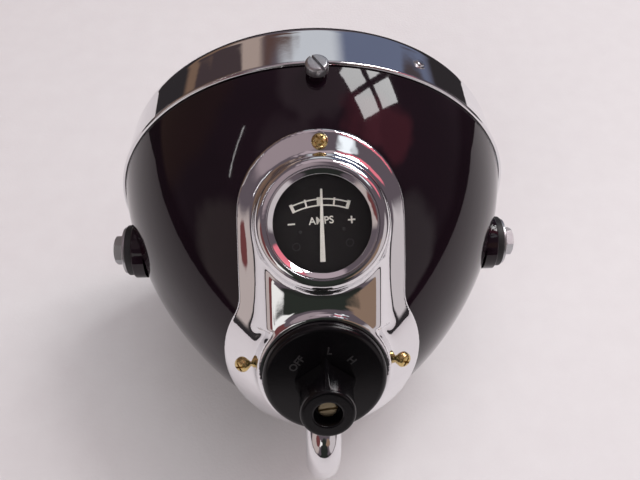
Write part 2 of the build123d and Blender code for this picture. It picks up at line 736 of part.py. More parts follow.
with BuildPart() as panel_screws:
    for face in screw_faces:
        add(turned(face, [(0, -panel_screw_length), (panel_screw_radius, -panel_screw_length),
                          (panel_screw_radius, 0), (panel_screw_head_radius, 0),
                          (panel_screw_head_radius, panel_screw_head_height), (0, panel_screw_head_height)],
                   rounds=[((panel_screw_head_radius, panel_screw_head_height), panel_screw_head_round)]))
        with BuildSketch(face.offset(panel_screw_head_height)):
            Rectangle(panel_screw_recess, panel_screw_recess_length)
            Rectangle(panel_screw_recess_length, panel_screw_recess)
        extrude(amount=-panel_screw_recess_depth, mode=Mode.SUBTRACT)

# Ammeter: bezel, glass, case, dial, movement, needle on its staff, studs, nuts and strap
glass_back = ammeter_ledge - ammeter_glass_thickness
dial_face_height = glass_back - dial_depth
dial_back = dial_face_height - dial_thickness
needle_back = (glass_back + dial_face_height - needle_thickness) / 2
case_floor = ammeter_ledge - ammeter_case_depth + ammeter_case_wall
case_back = case_floor - ammeter_case_wall
stud_head_top = case_floor + stud_head_height
staff_foot = needle_back - staff_length
case_bore = ammeter_case_radius - ammeter_case_wall
stud_spots = [(-stud_spacing / 2, 0), (stud_spacing / 2, 0)]
pivot_spot = (0, -needle_drop)
strap_back = case_back - strap_sheet
strap_leg_x = ammeter_case_radius + 2 * loose_fit

with BuildPart() as ammeter_bezel:
    add(turned(ammeter_face, [(ammeter_window_radius, ammeter_ledge), (ammeter_bezel_radius, ammeter_ledge),
                              (ammeter_bezel_radius, -loose_fit),
                              (ammeter_bezel_radius - loose_fit, -loose_fit),
                              (ammeter_window_radius, ammeter_ledge + panel_sheet)]))

with BuildPart() as ammeter_glass:
    add(ring(ammeter_face, 0, case_bore - thread_fit, glass_back, ammeter_ledge))

with BuildPart() as ammeter_case:
    add(ring(ammeter_face, case_bore, ammeter_case_radius, case_floor, ammeter_ledge))
    with BuildSketch(ammeter_face.offset(case_back)):
        Circle(ammeter_case_radius)
        with Locations(*stud_spots):
            Circle(stud_radius + thread_fit, mode=Mode.SUBTRACT)
    extrude(amount=ammeter_case_wall)

with BuildPart() as ammeter_dial:
    with BuildSketch(ammeter_face.offset(dial_back)):
        Circle(case_bore - thread_fit)
        with Locations(pivot_spot):
            Circle(staff_radius + loose_fit, mode=Mode.SUBTRACT)
    extrude(amount=dial_thickness)

with BuildPart() as ammeter_movement:
    with BuildSketch(ammeter_face.offset(stud_head_top)):
        Circle(case_bore - movement_clearance)
    extrude(amount=dial_back - stud_head_top)
    with BuildSketch(ammeter_face.offset(staff_foot - thread_fit)):
        with Locations(pivot_spot):
            Circle(staff_radius + running_fit)
    extrude(amount=dial_back - staff_foot + thread_fit, mode=Mode.SUBTRACT)

with BuildPart() as ammeter_needle:
    with BuildSketch(ammeter_face.offset(needle_back)):
        with BuildLine():
            Polyline((-needle_root_width / 2, -needle_drop - needle_tail),
                     (needle_root_width / 2, -needle_drop - needle_tail),
                     (needle_tip_width / 2, needle_reach - needle_drop),
                     (-needle_tip_width / 2, needle_reach - needle_drop), close=True)
        make_face()
    extrude(amount=needle_thickness)

with BuildPart() as ammeter_staff:
    with BuildSketch(ammeter_face.offset(staff_foot)):
        with Locations(pivot_spot):
            Circle(staff_radius)
    extrude(amount=staff_length)

with BuildPart() as ammeter_studs:
    with BuildSketch(ammeter_face.offset(case_floor)):
        with Locations(*stud_spots):
            Circle(stud_head_radius)
    extrude(amount=stud_head_height)
    with BuildSketch(ammeter_face.offset(case_floor - stud_length)):
        with Locations(*stud_spots):
            Circle(stud_radius)
    extrude(amount=stud_length)

with BuildPart() as ammeter_nuts:
    with BuildSketch(ammeter_face.offset(strap_back)):
        with Locations(*stud_spots):
            RegularPolygon(radius=stud_nut_flats / 2, side_count=6, major_radius=False)
            Circle(stud_radius + thread_fit, mode=Mode.SUBTRACT)
    extrude(amount=-stud_nut_height)

with BuildPart() as ammeter_strap:
    with BuildSketch(ammeter_face.offset(strap_back)):
        Rectangle(2 * (strap_leg_x + strap_sheet), strap_width)
        with Locations(*stud_spots):
            Circle(stud_radius + loose_fit, mode=Mode.SUBTRACT)
    extrude(amount=strap_sheet)
    with BuildSketch(ammeter_face.offset(strap_back)):
        with Locations((strap_leg_x + strap_sheet / 2, 0), (-strap_leg_x - strap_sheet / 2, 0)):
            Rectangle(strap_sheet, strap_width)
    extrude(amount=ammeter_ledge - panel_sheet - strap_back)

# Switch: cover, base, spindle, rotor, knob with its screw, and terminals
knob_foot = loose_fit
knob_top = knob_foot + knob_height
recess_floor = knob_top - knob_recess_depth
spindle_top = recess_floor - knob_web
cover_bore = spindle_radius + running_fit
base_top = switch_ledge - loose_fit
base_back = base_top - switch_base_depth
base_seat = switch_ledge - panel_sheet
rotor_top = base_seat - switch_base_flange
rotor_foot = rotor_top - rotor_thickness
rotor_floor = rotor_foot - loose_fit
spindle_foot = (rotor_floor + base_back) / 2

with BuildPart() as switch_cover:
    add(turned(switch_face, [(cover_bore, 0), (cover_bore, -switch_cover_wall),
                             (switch_cover_radius - switch_cover_skirt, -switch_cover_wall),
                             (switch_cover_radius - switch_cover_skirt, switch_ledge),
                             (switch_cover_radius, switch_ledge), (switch_cover_radius, 0)],
               rounds=[((switch_cover_radius, 0), switch_cover_round)]))

with BuildPart() as switch_base:
    add(ring(switch_face, 0, switch_base_radius, base_back, base_top))
    add(ring(switch_face, 0, switch_base_radius + switch_base_flange_width, base_seat - switch_base_flange,
             base_seat))
    add(ring(switch_face, 0, rotor_radius + 2 * loose_fit, rotor_floor, base_top), mode=Mode.SUBTRACT)
    add(ring(switch_face, 0, cover_bore, spindle_foot - thread_fit, base_top), mode=Mode.SUBTRACT)

with BuildPart() as switch_spindle:
    add(ring(switch_face, 0, spindle_radius, spindle_foot, spindle_top))
    add(ring(switch_face, 0, spindle_shoulder_radius, rotor_top, -switch_cover_wall - loose_fit))
    add(ring(switch_face, 0, knob_screw_radius + thread_fit, recess_floor - knob_screw_length - thread_fit,
             spindle_top), mode=Mode.SUBTRACT)

with BuildPart() as switch_rotor:
    add(ring(switch_face, cover_bore, rotor_radius, rotor_foot, rotor_top))

with BuildPart() as pointer:
    with BuildSketch(switch_face.offset(knob_foot)):
        with BuildLine():
            Polyline((-pointer_root_width / 2, knob_radius - pointer_root_width / 2),
                     (pointer_root_width / 2, knob_radius - pointer_root_width / 2),
                     (pointer_tip_width / 2, pointer_reach), (-pointer_tip_width / 2, pointer_reach),
                     close=True)
        make_face()
    extrude(amount=knob_height)
    with BuildSketch(Plane(origin=switch_face.origin, x_dir=switch_face.y_dir, z_dir=switch_face.x_dir)):
        with BuildLine():
            Polyline((knob_recess_radius, knob_foot), (pointer_reach, knob_foot),
                     (pointer_reach, knob_foot + pointer_tip_height), (knob_radius, knob_top - knob_round),
                     (knob_recess_radius, knob_top - knob_round), close=True)
        make_face()
    extrude(amount=pointer_root_width, both=True, mode=Mode.INTERSECT)

with BuildPart() as switch_knob:
    add(turned(switch_face, [(cover_bore, knob_foot), (knob_skirt_radius, knob_foot),
                             (knob_radius, knob_foot + knob_skirt_height), (knob_radius, knob_top),
                             (knob_recess_radius, knob_top), (knob_recess_radius, recess_floor),
                             (knob_screw_radius + thread_fit, recess_floor),
                             (knob_screw_radius + thread_fit, spindle_top), (cover_bore, spindle_top)],
               rounds=[((knob_radius, knob_top), knob_round),
                       ((knob_radius, knob_foot + knob_skirt_height), knob_waist_round)]))
    for side in (-1, 1):
        across_way = switch_face.x_dir * side * math.sin(math.radians(flank_angle))
        flank_way = across_way + switch_face.y_dir * math.cos(math.radians(flank_angle))
        lean_way = switch_face.z_dir * math.sin(math.radians(flank_lean))
        flank_face = Plane(
            origin=switch_face.origin + switch_face.z_dir * knob_foot + flank_way * flank_distance,
            x_dir=switch_face.z_dir.cross(flank_way),
            z_dir=flank_way * math.cos(math.radians(flank_lean)) - lean_way,
        )
        with BuildSketch(flank_face):
            Rectangle(2 * knob_skirt_radius, 2 * knob_height)
        extrude(amount=knob_skirt_radius, mode=Mode.SUBTRACT)
    add(pointer.part)

with BuildPart() as switch_knob_screw:
    add(ring(switch_face, 0, knob_screw_head_radius, recess_floor, recess_floor + knob_screw_head_height))
    add(ring(switch_face, 0, knob_screw_radius, recess_floor - knob_screw_length, recess_floor))
    with BuildSketch(switch_face.offset(recess_floor + knob_screw_head_height)):
        Rectangle(2 * knob_screw_head_radius, knob_screw_slot, rotation=knob_screw_slot_angle)
    extrude(amount=-knob_screw_slot_depth, mode=Mode.SUBTRACT)

with BuildPart() as switch_terminals:
    with BuildSketch(switch_face.offset(base_back)):
        with PolarLocations(terminal_circle_radius, terminal_count, start_angle=terminal_start_angle):
            Circle(terminal_radius)
    extrude(amount=-terminal_length)

pieces = {
    "shell": shell, "rim": rim, "rim_rivets": rim_rivets, "rim_screw": rim_screw,
    "rim_screw_nut": rim_screw_nut, "lens": lens, "lens_seal": lens_seal, "reflector": reflector,
    "reflector_clips": reflector_clips, "main_bulb_holder": main_bulb_holder, "main_bulb_cap": main_bulb_cap,
    "main_bulb_glass": main_bulb_glass, "pilot_bulb_holder": pilot_bulb_holder,
    "pilot_bulb_cap": pilot_bulb_cap, "pilot_bulb_glass": pilot_bulb_glass, "panel": panel,
    "panel_screws": panel_screws, "ammeter_bezel": ammeter_bezel, "ammeter_glass": ammeter_glass,
    "ammeter_case": ammeter_case, "ammeter_dial": ammeter_dial, "ammeter_movement": ammeter_movement,
    "ammeter_needle": ammeter_needle, "ammeter_staff": ammeter_staff, "ammeter_studs": ammeter_studs,
    "ammeter_nuts": ammeter_nuts, "ammeter_strap": ammeter_strap, "switch_cover": switch_cover,
    "switch_base": switch_base, "switch_spindle": switch_spindle, "switch_rotor": switch_rotor,
    "switch_knob": switch_knob, "switch_knob_screw": switch_knob_screw, "switch_terminals": switch_terminals,
}

washer_seat = side_spacer_thickness
head_seat = washer_seat + side_washer_thickness
bolt_bore = side_bolt_radius + thread_fit

# Side fixings: spacer, washer, bolt and nut on each side
for side, face in side_faces.items():
    with BuildPart() as side_spacer:
        add(ring(face, bolt_bore, side_spacer_radius, 0, washer_seat))
    with BuildPart() as side_washer:
        add(ring(face, bolt_bore, side_washer_radius, washer_seat, head_seat))
    with BuildPart() as side_bolt:
        add(hexagon(face, side_bolt_head_flats, head_seat, head_seat + side_bolt_head_height, 0))
        add(ring(face, 0, side_bolt_radius, head_seat - side_bolt_length, head_seat))
    with BuildPart() as side_nut:
        add(hexagon(face, side_bolt_head_flats, -side_seat_depth - side_nut_height, -side_seat_depth,
                    bolt_bore))
    pieces[f"side_spacer_{side}"] = side_spacer
    pieces[f"side_washer_{side}"] = side_washer
    pieces[f"side_bolt_{side}"] = side_bolt
    pieces[f"side_nut_{side}"] = side_nut

for name, piece in pieces.items():
    piece.part.label = name
    export_step(piece.part, f"parts/{name}.step")
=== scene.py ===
import math

import bpy
from bpy.props import FloatProperty, FloatVectorProperty, IntProperty, PointerProperty
from mathutils import Matrix, Vector


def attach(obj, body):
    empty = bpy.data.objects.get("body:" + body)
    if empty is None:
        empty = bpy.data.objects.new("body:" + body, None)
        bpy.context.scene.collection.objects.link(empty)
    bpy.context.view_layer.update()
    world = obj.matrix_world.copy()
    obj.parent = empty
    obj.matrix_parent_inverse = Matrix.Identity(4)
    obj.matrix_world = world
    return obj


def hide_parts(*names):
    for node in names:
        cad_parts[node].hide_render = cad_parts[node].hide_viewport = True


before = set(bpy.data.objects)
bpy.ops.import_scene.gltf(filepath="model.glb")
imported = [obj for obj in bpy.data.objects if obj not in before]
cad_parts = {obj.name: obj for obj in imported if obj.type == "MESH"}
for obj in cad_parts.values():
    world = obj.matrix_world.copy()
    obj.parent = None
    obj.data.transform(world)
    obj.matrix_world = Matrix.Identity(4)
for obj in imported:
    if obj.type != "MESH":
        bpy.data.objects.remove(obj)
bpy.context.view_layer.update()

bl_info = {
    "name": "Round Motorcycle Headlight",
    "version": (1, 0, 0),
    "blender": (4, 5, 0),
    "location": "3D Viewport > Sidebar > Headlight",
    "description": "Builds a round motorcycle headlight with an ammeter and a lighting switch, and its stage",
    "category": "Object",
}

QUARTER_TURN = math.pi / 2
HALF_TURN = math.pi
FULL_TURN = 2 * math.pi


def size(label, millimetres):
    """Length property given in millimetres and kept in metres."""
    return FloatProperty(
        name=label, description=label, default=millimetres / 1000, unit="LENGTH", precision=5
    )


def angle(label, degrees):
    """Angle property given in degrees and kept in radians."""
    return FloatProperty(name=label, description=label, default=math.radians(degrees), subtype="ANGLE")


def colour(label, value):
    """Linear colour property."""
    return FloatVectorProperty(
        name=label, description=label, default=value, subtype="COLOR", min=0.0, max=1.0
    )


def point(label, metres):
    """Place property, in metres."""
    return FloatVectorProperty(name=label, description=label, default=metres, subtype="TRANSLATION")


def direction(label, way):
    """Direction property."""
    return FloatVectorProperty(name=label, description=label, default=way, subtype="DIRECTION")


def number(label, value):
    """Plain number property."""
    return FloatProperty(name=label, description=label, default=value)


def count(label, value):
    """Whole number property."""
    return IntProperty(name=label, description=label, default=value)


class BowlSizes(bpy.types.PropertyGroup):
    """Sizes of the painted bowl; y runs along the lamp's axis."""

    mouth_radius: size("Mouth radius", 99.5)
    mouth_y: size("Mouth place", 27.0)
    side_radius: size("Side arc radius", 172.0)
    nose_radius: size("Nose arc radius", 55.0)
    nose_tip_y: size("Nose tip place", -90.7)
    wall: size("Wall", 1.2)
    spigot_length: size("Spigot length", 5.0)
    spigot_step: size("Spigot step", 1.7)
    boss_radius: size("Side boss radius", 14.5)
    boss_depth: size("Side boss depth", 6.0)
    boss_round: size("Side boss edge round", 0.7)
    seat_radius: size("Spacer seat radius", 13.3)
    seat_rise: size("Seat height over the bowl", 1.2)
    bolt_hole: size("Bolt hole radius", 4.1)
    screw_boss_radius: size("Rim screw boss radius", 3.5)
    screw_boss_foot: size("Rim screw boss depth", 6.0)
    opening_half: size("Panel opening half width", 18.0)
    opening_reach: size("Panel opening half length", 35.0)
    row: size("Mesh row height", 2.2)
    steps: count("Mesh steps around", 224)


class RimSizes(bpy.types.PropertyGroup):
    """Sizes of the chrome rim, the front glass and the reflector."""

    sheet: size("Sheet", 0.9)
    bead_radius: size("Bead radius", 1.1)
    bead_lift: size("Bead lift", 0.5)
    fit: size("Fit on the bowl", 0.3)
    depth: size("Depth", 31.0)
    roll_radius: size("Front roll radius", 9.3)
    taper: size("Band taper", 1.8)
    lip_width: size("Lip width", 2.6)
    rivet_count: count("Rivets", 3)
    rivet_start: angle("First rivet, from the top", 28.5)
    rivet_setback: size("Rivet setback", 18.0)
    rivet_radius: size("Rivet head radius", 3.1)
    rivet_dome: size("Rivet dome radius", 2.0)
    rivet_height: size("Rivet height", 1.2)
    rivet_flange: size("Rivet flange height", 0.35)
    rivet_shank: size("Rivet shank radius", 1.5)
    rivet_grip: size("Rivet grip", 2.05)
    seal: size("Seal thickness", 2.0)
    glass: size("Glass thickness", 4.0)
    dome: size("Glass dome height", 13.0)
    flange: size("Glass flange thickness", 4.5)
    flange_width: size("Glass flange width", 5.0)
    loose: size("Loose fit", 0.3)
    mirror_sheet: size("Reflector sheet", 1.0)
    mirror_focus: size("Reflector focus", 25.0)
    mirror_neck: size("Reflector neck radius", 14.0)
    mirror_neck_length: size("Reflector neck length", 8.0)
    mirror_inset: size("Reflector mouth inset", 1.5)
    pilot_drop: size("Pilot bulb drop", 40.0)
    pilot_hole: size("Pilot socket bore", 5.8)
    pilot_depth: size("Pilot socket depth", 9.0)
    screw_setback: size("Rim screw setback", 4.3)
    screw_radius: size("Rim screw head radius", 5.0)
    screw_height: size("Rim screw head height", 4.7)
    screw_round: size("Rim screw head round", 1.3)
    screw_shank: size("Rim screw shank radius", 2.5)
    screw_length: size("Rim screw length", 12.0)
    screw_slot: size("Rim screw slot width", 1.3)
    screw_slot_depth: size("Rim screw slot depth", 1.6)
    screw_slot_turn: angle("Rim screw slot turn", -59.0)


class PanelSizes(bpy.types.PropertyGroup):
    """Sizes of the chrome panel and its screws."""

    sheet: size("Sheet", 1.0)
    gap: size("Gap to the bowl", 0.1)
    height: size("Plate height", 3.0)
    tilt: angle("Plate tilt", 45.0)
    head_radius: size("Head radius", 35.0)
    head_shift: size("Head shift", 3.0)
    tail_radius: size("Tail radius", 43.3)
    tail_shift: size("Tail shift", 3.5)
    waist_round: size("Waist round", 20.0)
    plan_foot: size("Start of the plan's solid", 36.0)
    fillet_voxel: size("Voxel size for the fillets", 1.0)
    fillet_rounds: count("Smoothing rounds for the fillets", 30)
    edge_voxel: size("Voxel size for the edges", 0.5)
    edge_rounds: count("Smoothing rounds for the edges", 18)
    bridge_angle: angle("Bridge angle", 48.0)
    bridge_height: size("Bridge height", 7.0)
    bridge_rise: size("Bridge reach towards the ammeter", 25.0)
    bridge_reach: size("Bridge reach towards the switch", 18.0)
    bridge_half: size("Bridge half width", 23.0)
    bridge_draft: size("Bridge draft", 8.0)
    bridge_round: size("Bridge edge round", 5.0)
    bridge_crown: size("Bridge crown radius", 190.0)
    spout_radius: size("Spout radius", 8.25)
    spout_wall: size("Spout wall", 1.5)
    spout_bend: size("Spout bend radius", 12.0)
    spout_z: size("Spout height", -8.0)
    spout_leg_y: size("Spout leg place", -104.3)
    spout_drop: size("Spout drop", 22.0)
    screw_radius: size("Screw head radius", 3.4)
    screw_height: size("Screw head height", 2.4)
    screw_round: size("Screw head round", 1.9)
    screw_shank: size("Screw shank radius", 1.7)
    screw_length: size("Screw length", 8.0)
    screw_cross: size("Screw cross width", 0.95)
    screw_cross_length: size("Screw cross length", 4.2)
    screw_cross_depth: size("Screw cross depth", 1.3)
    screw_top_arc: size("Top screw distance", 33.3)
    screw_side_angle: angle("Side screw angle", 39.9)
    screw_side_swing: angle("Side screw swing", 55.4)
    screw_turn: angle("Recess turn from screw to screw", 57.29578)


class AmmeterSizes(bpy.types.PropertyGroup):
    """Sizes of the ammeter."""

    angle: angle("Axis angle", 56.4)
    proud: size("Height over the bowl", 11.0)
    collar_radius: size("Collar radius", 27.0)
    collar_draft: size("Collar draft", 1.2)
    collar_round: size("Collar round", 4.0)
    bore: size("Collar bore radius", 22.7)
    ledge_bore: size("Ledge bore radius", 21.8)
    pocket: size("Pocket radius", 25.4)
    window: size("Window radius", 19.6)
    bezel_radius: size("Bezel radius", 22.4)
    bezel_depth: size("Bezel depth", 4.6)
    bezel_lip: size("Bezel lip width", 0.7)
    bezel_step: size("Bezel step", 0.5)
    bezel_slope: size("Bezel slope height", 1.1)
    dial_height: size("Dial face height", -8.6)
    print_height: size("Print thickness", 0.06)
    print_turn: angle("Print turn", 3.3)
    print_shift: size("Print shift", -0.1)
    scale_radius: size("Scale radius", 33.0)
    scale_top: size("Scale top", 10.3)
    scale_width: size("Scale width", 3.1)
    scale_line: size("Scale line width", 0.55)
    scale_half: angle("Scale half span", 20.9)
    bar_end: size("End bar width", 1.3)
    bar_thin: size("Thin bar width", 0.7)
    bar_middle: size("Middle bar width", 2.4)
    bar_over: size("Bar overhang", 0.45)
    bar_lift: number("Bar thickness over the print's", 1.2)
    letter_height: size("Letter size", 4.2)
    letter_bold: size("Letter boldness", 0.06)
    letter_y: size("Letters place", 1.2)
    sign_left: size("Minus place", -12.2)
    sign_right: size("Plus place", 12.3)
    sign_y: size("Sign height", 0.7)
    sign_width: size("Sign width", 3.0)
    sign_line: size("Sign line width", 0.65)
    dial_screw_x: size("Dial screw place across", 10.9)
    dial_screw_y: size("Dial screw place", -8.6)
    dial_screw_radius: size("Dial screw radius", 1.7)
    dial_screw_bore: size("Dial screw inner radius", 1.25)
    dial_screw_height: size("Dial screw height", 0.35)
    pip_x: size("Pip place across", 8.9)
    pip_y: size("Pip place", -2.8)
    pip_radius: size("Pip radius", 0.75)
    pip_height: size("Pip height", 0.4)
    needle_drop: size("Needle pivot drop", 12.4)
    needle_reach: size("Needle reach", 26.5)
    needle_tail: size("Needle tail", 3.0)
    needle_tip: size("Needle tip width", 0.85)
    needle_root: size("Needle root width", 2.2)
    needle_height: size("Needle thickness", 0.5)
    needle_back: size("Height of the needle's back", -7.55)


class SwitchSizes(bpy.types.PropertyGroup):
    """Sizes of the lighting switch."""

    angle: angle("Axis angle", 32.4)
    face_y: size("Face place along the lamp", -89.6)
    face_z: size("Face place upwards", 35.9)
    cover_radius: size("Cover radius", 26.0)
    cover_depth: size("Cover depth", 7.0)
    cover_round: size("Cover round", 2.6)
    cover_wall: size("Cover wall", 2.6)
    cover_skirt: size("Cover skirt", 4.4)
    cover_bore: size("Cover bore radius", 4.05)
    collar_radius: size("Collar radius", 28.3)
    collar_drop: size("Collar drop", 4.4)
    collar_depth: size("Collar depth", 25.0)
    collar_draft: size("Collar draft", 2.4)
    collar_round: size("Collar round", 1.2)
    collar_bore: size("Collar bore radius", 26.3)
    ledge_bore: size("Ledge bore radius", 20.9)
    pocket: size("Pocket radius", 26.6)
    letter_height: size("Letter size", 4.5)
    letter_relief: size("Letter relief", 0.34)
    letter_bevel: size("Letter bevel", 0.10)
    letter_radius: size("Letter circle radius", 14.6)
    letter_off: angle("OFF place", 52.0)
    letter_low: angle("L place", -7.0)
    letter_high: angle("H place", -47.0)
    knob_foot: size("Knob foot", 0.3)
    knob_height: size("Knob height", 21.5)
    knob_radius: size("Knob radius", 10.9)
    knob_skirt: size("Knob skirt radius", 12.6)
    knob_skirt_height: size("Knob skirt height", 7.0)
    knob_waist_round: size("Knob waist round", 14.0)
    knob_round: size("Knob edge round", 1.2)
    recess_radius: size("Recess radius", 5.6)
    recess_depth: size("Recess depth", 6.5)
    recess_round: size("Recess edge round", 0.5)
    web: size("Web under the screw", 3.0)
    pointer_reach: size("Pointer reach", 12.4)
    pointer_tip: size("Pointer tip width", 0.9)
    pointer_tip_height: size("Pointer tip height", 3.6)
    pointer_root: size("Pointer root width", 4.2)
    flank_angle: angle("Flank angle from the pointer", 36.5)
    flank_distance: size("Flank distance", 8.3)
    flank_lean: angle("Flank lean", 10.6)
    voxel: size("Knob voxel size", 0.22)
    smooth_rounds: count("Knob smoothing rounds", 8)
    screw_radius: size("Screw head radius", 3.85)
    screw_height: size("Screw head height", 2.8)
    screw_round: size("Screw head round", 0.5)
    screw_shank: size("Screw shank radius", 2.0)
    screw_length: size("Screw length", 12.0)
    screw_slot: size("Screw slot width", 1.0)
    screw_slot_depth: size("Screw slot depth", 1.1)
    screw_slot_turn: angle("Screw slot turn", 8.0)


class SideSizes(bpy.types.PropertyGroup):
    """Sizes of the side fixings, alike on both sides."""

    spacer_radius: size("Spacer radius", 13.0)
    spacer_thickness: size("Spacer thickness", 3.4)
    spacer_round: size("Spacer edge round", 0.5)
    washer_radius: size("Washer radius", 12.0)
    washer_thickness: size("Washer thickness", 1.6)
    washer_round: size("Washer edge round", 0.45)
    bolt_radius: size("Bolt radius", 4.0)
    bolt_length: size("Bolt length", 25.0)
    bolt_flats: size("Bolt head across flats", 13.0)
    bolt_head: size("Bolt head height", 5.3)
    bolt_chamfer: size("Bolt head chamfer", 0.75)
    bolt_dish: size("Bolt head dish depth", 0.4)
    bolt_dish_radius: size("Bolt head dish radius", 4.2)
    bolt_turn: angle("Bolt head turn", 17.0)
    fit: size("Thread fit", 0.1)


class FinishColours(bpy.types.PropertyGroup):
    """Two colours for each finish, which its pattern runs between."""

    black_paint: colour("Black paint", (0.0045, 0.0025, 0.0040))
    black_paint_second: colour("Black paint, second", (0.0120, 0.0050, 0.0090))
    chrome: colour("Chrome", (0.86, 0.86, 0.87))
    chrome_second: colour("Chrome, second", (0.78, 0.78, 0.80))
    zinc: colour("Zinc", (0.62, 0.63, 0.64))
    zinc_second: colour("Zinc, second", (0.42, 0.43, 0.45))
    yellow_zinc: colour("Yellow zinc", (0.76, 0.55, 0.17))
    yellow_zinc_second: colour("Yellow zinc, second", (0.62, 0.50, 0.28))
    brass: colour("Brass", (0.50, 0.44, 0.30))
    brass_second: colour("Brass, second", (0.36, 0.29, 0.17))
    black_moulding: colour("Black moulding", (0.0016, 0.0014, 0.0018))
    black_moulding_second: colour("Black moulding, second", (0.0034, 0.0030, 0.0037))
    black_washer: colour("Black washer", (0.012, 0.011, 0.012))
    black_washer_second: colour("Black washer, second", (0.020, 0.020, 0.021))
    dial_black: colour("Dial black", (0.0036, 0.0027, 0.0028))
    dial_black_second: colour("Dial black, second", (0.0060, 0.0047, 0.0049))
    needle_white: colour("Needle white", (0.80, 0.78, 0.72))
    needle_white_second: colour("Needle white, second", (0.68, 0.66, 0.60))
    reflector_silver: colour("Reflector silver", (0.90, 0.90, 0.90))
    reflector_silver_second: colour("Reflector silver, second", (0.82, 0.83, 0.85))
    seal_rubber: colour("Seal rubber", (0.018, 0.018, 0.018))
    seal_rubber_second: colour("Seal rubber, second", (0.030, 0.029, 0.028))
    fibre_board: colour("Fibre board", (0.110, 0.050, 0.022))
    fibre_board_second: colour("Fibre board, second", (0.070, 0.032, 0.014))
    meter_glass: colour("Meter glass", (0.96, 0.98, 0.97))
    meter_glass_second: colour("Meter glass, second", (0.92, 0.95, 0.94))
    lens_glass: colour("Lens glass", (0.95, 0.97, 0.96))
    lens_glass_second: colour("Lens glass, second", (0.90, 0.94, 0.93))
    bulb_glass: colour("Bulb glass", (0.97, 0.97, 0.96))
    bulb_glass_second: colour("Bulb glass, second", (0.93, 0.94, 0.93))
    floor: colour("Floor", (0.775, 0.766, 0.772))
    floor_second: colour("Floor, second", (0.725, 0.708, 0.716))


class StageSettings(bpy.types.PropertyGroup):
    """Floor, light and camera."""

    floor_z: size("Floor height", -101.6)
    floor_half: size("Floor half width", 1100.0)
    floor_far: size("Floor far edge", 400.0)
    camera_place: point("Camera place", (-0.012016, -0.196226, 0.305724))
    camera_right: direction("Direction to the picture's right", (0.998893, -0.042788, 0.019592))
    camera_up: direction("Direction to the picture's top", (0.025103, 0.836559, 0.547300))
    camera_back: direction("Direction out of the picture", (-0.039806, -0.546205, 0.836705))
    camera_lens: number("Focal length", 38.847)
    camera_sensor: number("Sensor width", 36.0)
    camera_near: size("Nearest distance shown", 10.0)
    key_power: number("Key light power", 18.0)
    key_size: number("Key light size", 2.2)
    key_place: point("Key light place", (0.55, 0.15, 1.9))
    fill_power: number("Fill light power", 10.5)
    fill_size: number("Fill light size", 1.4)
    fill_place: point("Fill light place", (-0.7, -1.3, 1.0))
    room_wobble: number("Unevenness of the room's patches", 0.06)
    room_detail: number("Fineness of that unevenness", 4.0)
    pane_power: number("Window pane power", 5.0)
    pane_width: number("Window pane width", 0.36)
    pane_height: number("Window pane height", 0.36)
    pane_gap: number("Window bar width", 0.09)
    strip_power: number("Strip light power", 0.35)
    strip_width: number("Strip light width", 0.014)
    strip_upper: point("Strip light's upper end", (-1.18, 0.27, 1.60))
    strip_lower: point("Strip light's lower end", (-1.52, -0.23, 1.27))
    window_place: point("Window place", (1.01, 0.79, 1.78))


# Finish of each material slot: roughness, its spread, metallic, index of refraction,
# pattern scale, bump height
FINISHES = {
    "black_paint": (0.030, 0.030, 0.0, 1.42, 26.0, 0.00001),
    "chrome": (0.015, 0.030, 1.0, 1.50, 42.0, 0.000006),
    "zinc": (0.24, 0.22, 1.0, 1.50, 210.0, 0.00006),
    "yellow_zinc": (0.16, 0.20, 1.0, 1.50, 260.0, 0.00004),
    "brass": (0.28, 0.24, 1.0, 1.50, 260.0, 0.00006),
    "black_moulding": (0.16, 0.06, 0.0, 1.36, 120.0, 0.00001),
    "black_washer": (0.42, 0.14, 0.0, 1.45, 160.0, 0.00006),
    "dial_black": (0.55, 0.12, 0.0, 1.40, 300.0, 0.00003),
    "needle_white": (0.45, 0.12, 0.0, 1.50, 300.0, 0.00001),
    "reflector_silver": (0.03, 0.06, 1.0, 1.50, 40.0, 0.00001),
    "seal_rubber": (0.60, 0.15, 0.0, 1.50, 140.0, 0.00008),
    "fibre_board": (0.55, 0.20, 0.0, 1.50, 220.0, 0.00008),
    "floor": (0.50, 0.20, 0.0, 1.50, 60.0, 0.00012),
}

# Glass of each slot: roughness, its spread, index of refraction, alpha, pattern scale, bump height
GLASSES = {
    "meter_glass": (0.010, 0.020, 1.45, 0.28, 60.0, 0.000002),
    "lens_glass": (0.020, 0.030, 1.50, 0.45, 40.0, 0.00001),
    "bulb_glass": (0.010, 0.020, 1.45, 0.35, 90.0, 0.000002),
}

# CAD nodes shown as they are, by slot
CARRIED = {
    "zinc": ["rim_screw_nut", "ammeter_strap", "ammeter_case", "side_nut_left", "side_nut_right",
             "reflector_clips"],
    "brass": ["ammeter_studs", "ammeter_nuts", "ammeter_staff", "switch_spindle", "switch_terminals",
              "main_bulb_cap", "pilot_bulb_cap"],
    "black_moulding": ["switch_rotor"],
    "dial_black": ["ammeter_dial"],
    "fibre_board": ["switch_base", "ammeter_movement"],
    "seal_rubber": ["lens_seal"],
    "meter_glass": ["ammeter_glass"],
    "bulb_glass": ["main_bulb_glass", "pilot_bulb_glass"],
    "reflector_silver": ["main_bulb_holder", "pilot_bulb_holder"],
}

# Mesh steps around a quarter round, and around turned pieces and cutters from small to large
ROUND_STEPS = 6
SPOUT_BORE_STEPS = 16
SPOUT_STEPS = 20
PIP_STEPS = 24
RIVET_STEPS = 32
SHAFT_STEPS = 48
SCREW_STEPS = 64
RIM_SCREW_STEPS = 72
WASHER_STEPS = 96
KNOB_STEPS = 128
COLLAR_STEPS = 160
COVER_STEPS = 192

# Mesh steps along the arcs of the front glass and of the dial's scale
GLASS_ARC_STEPS = 24
SCALE_ARC_STEPS = 32

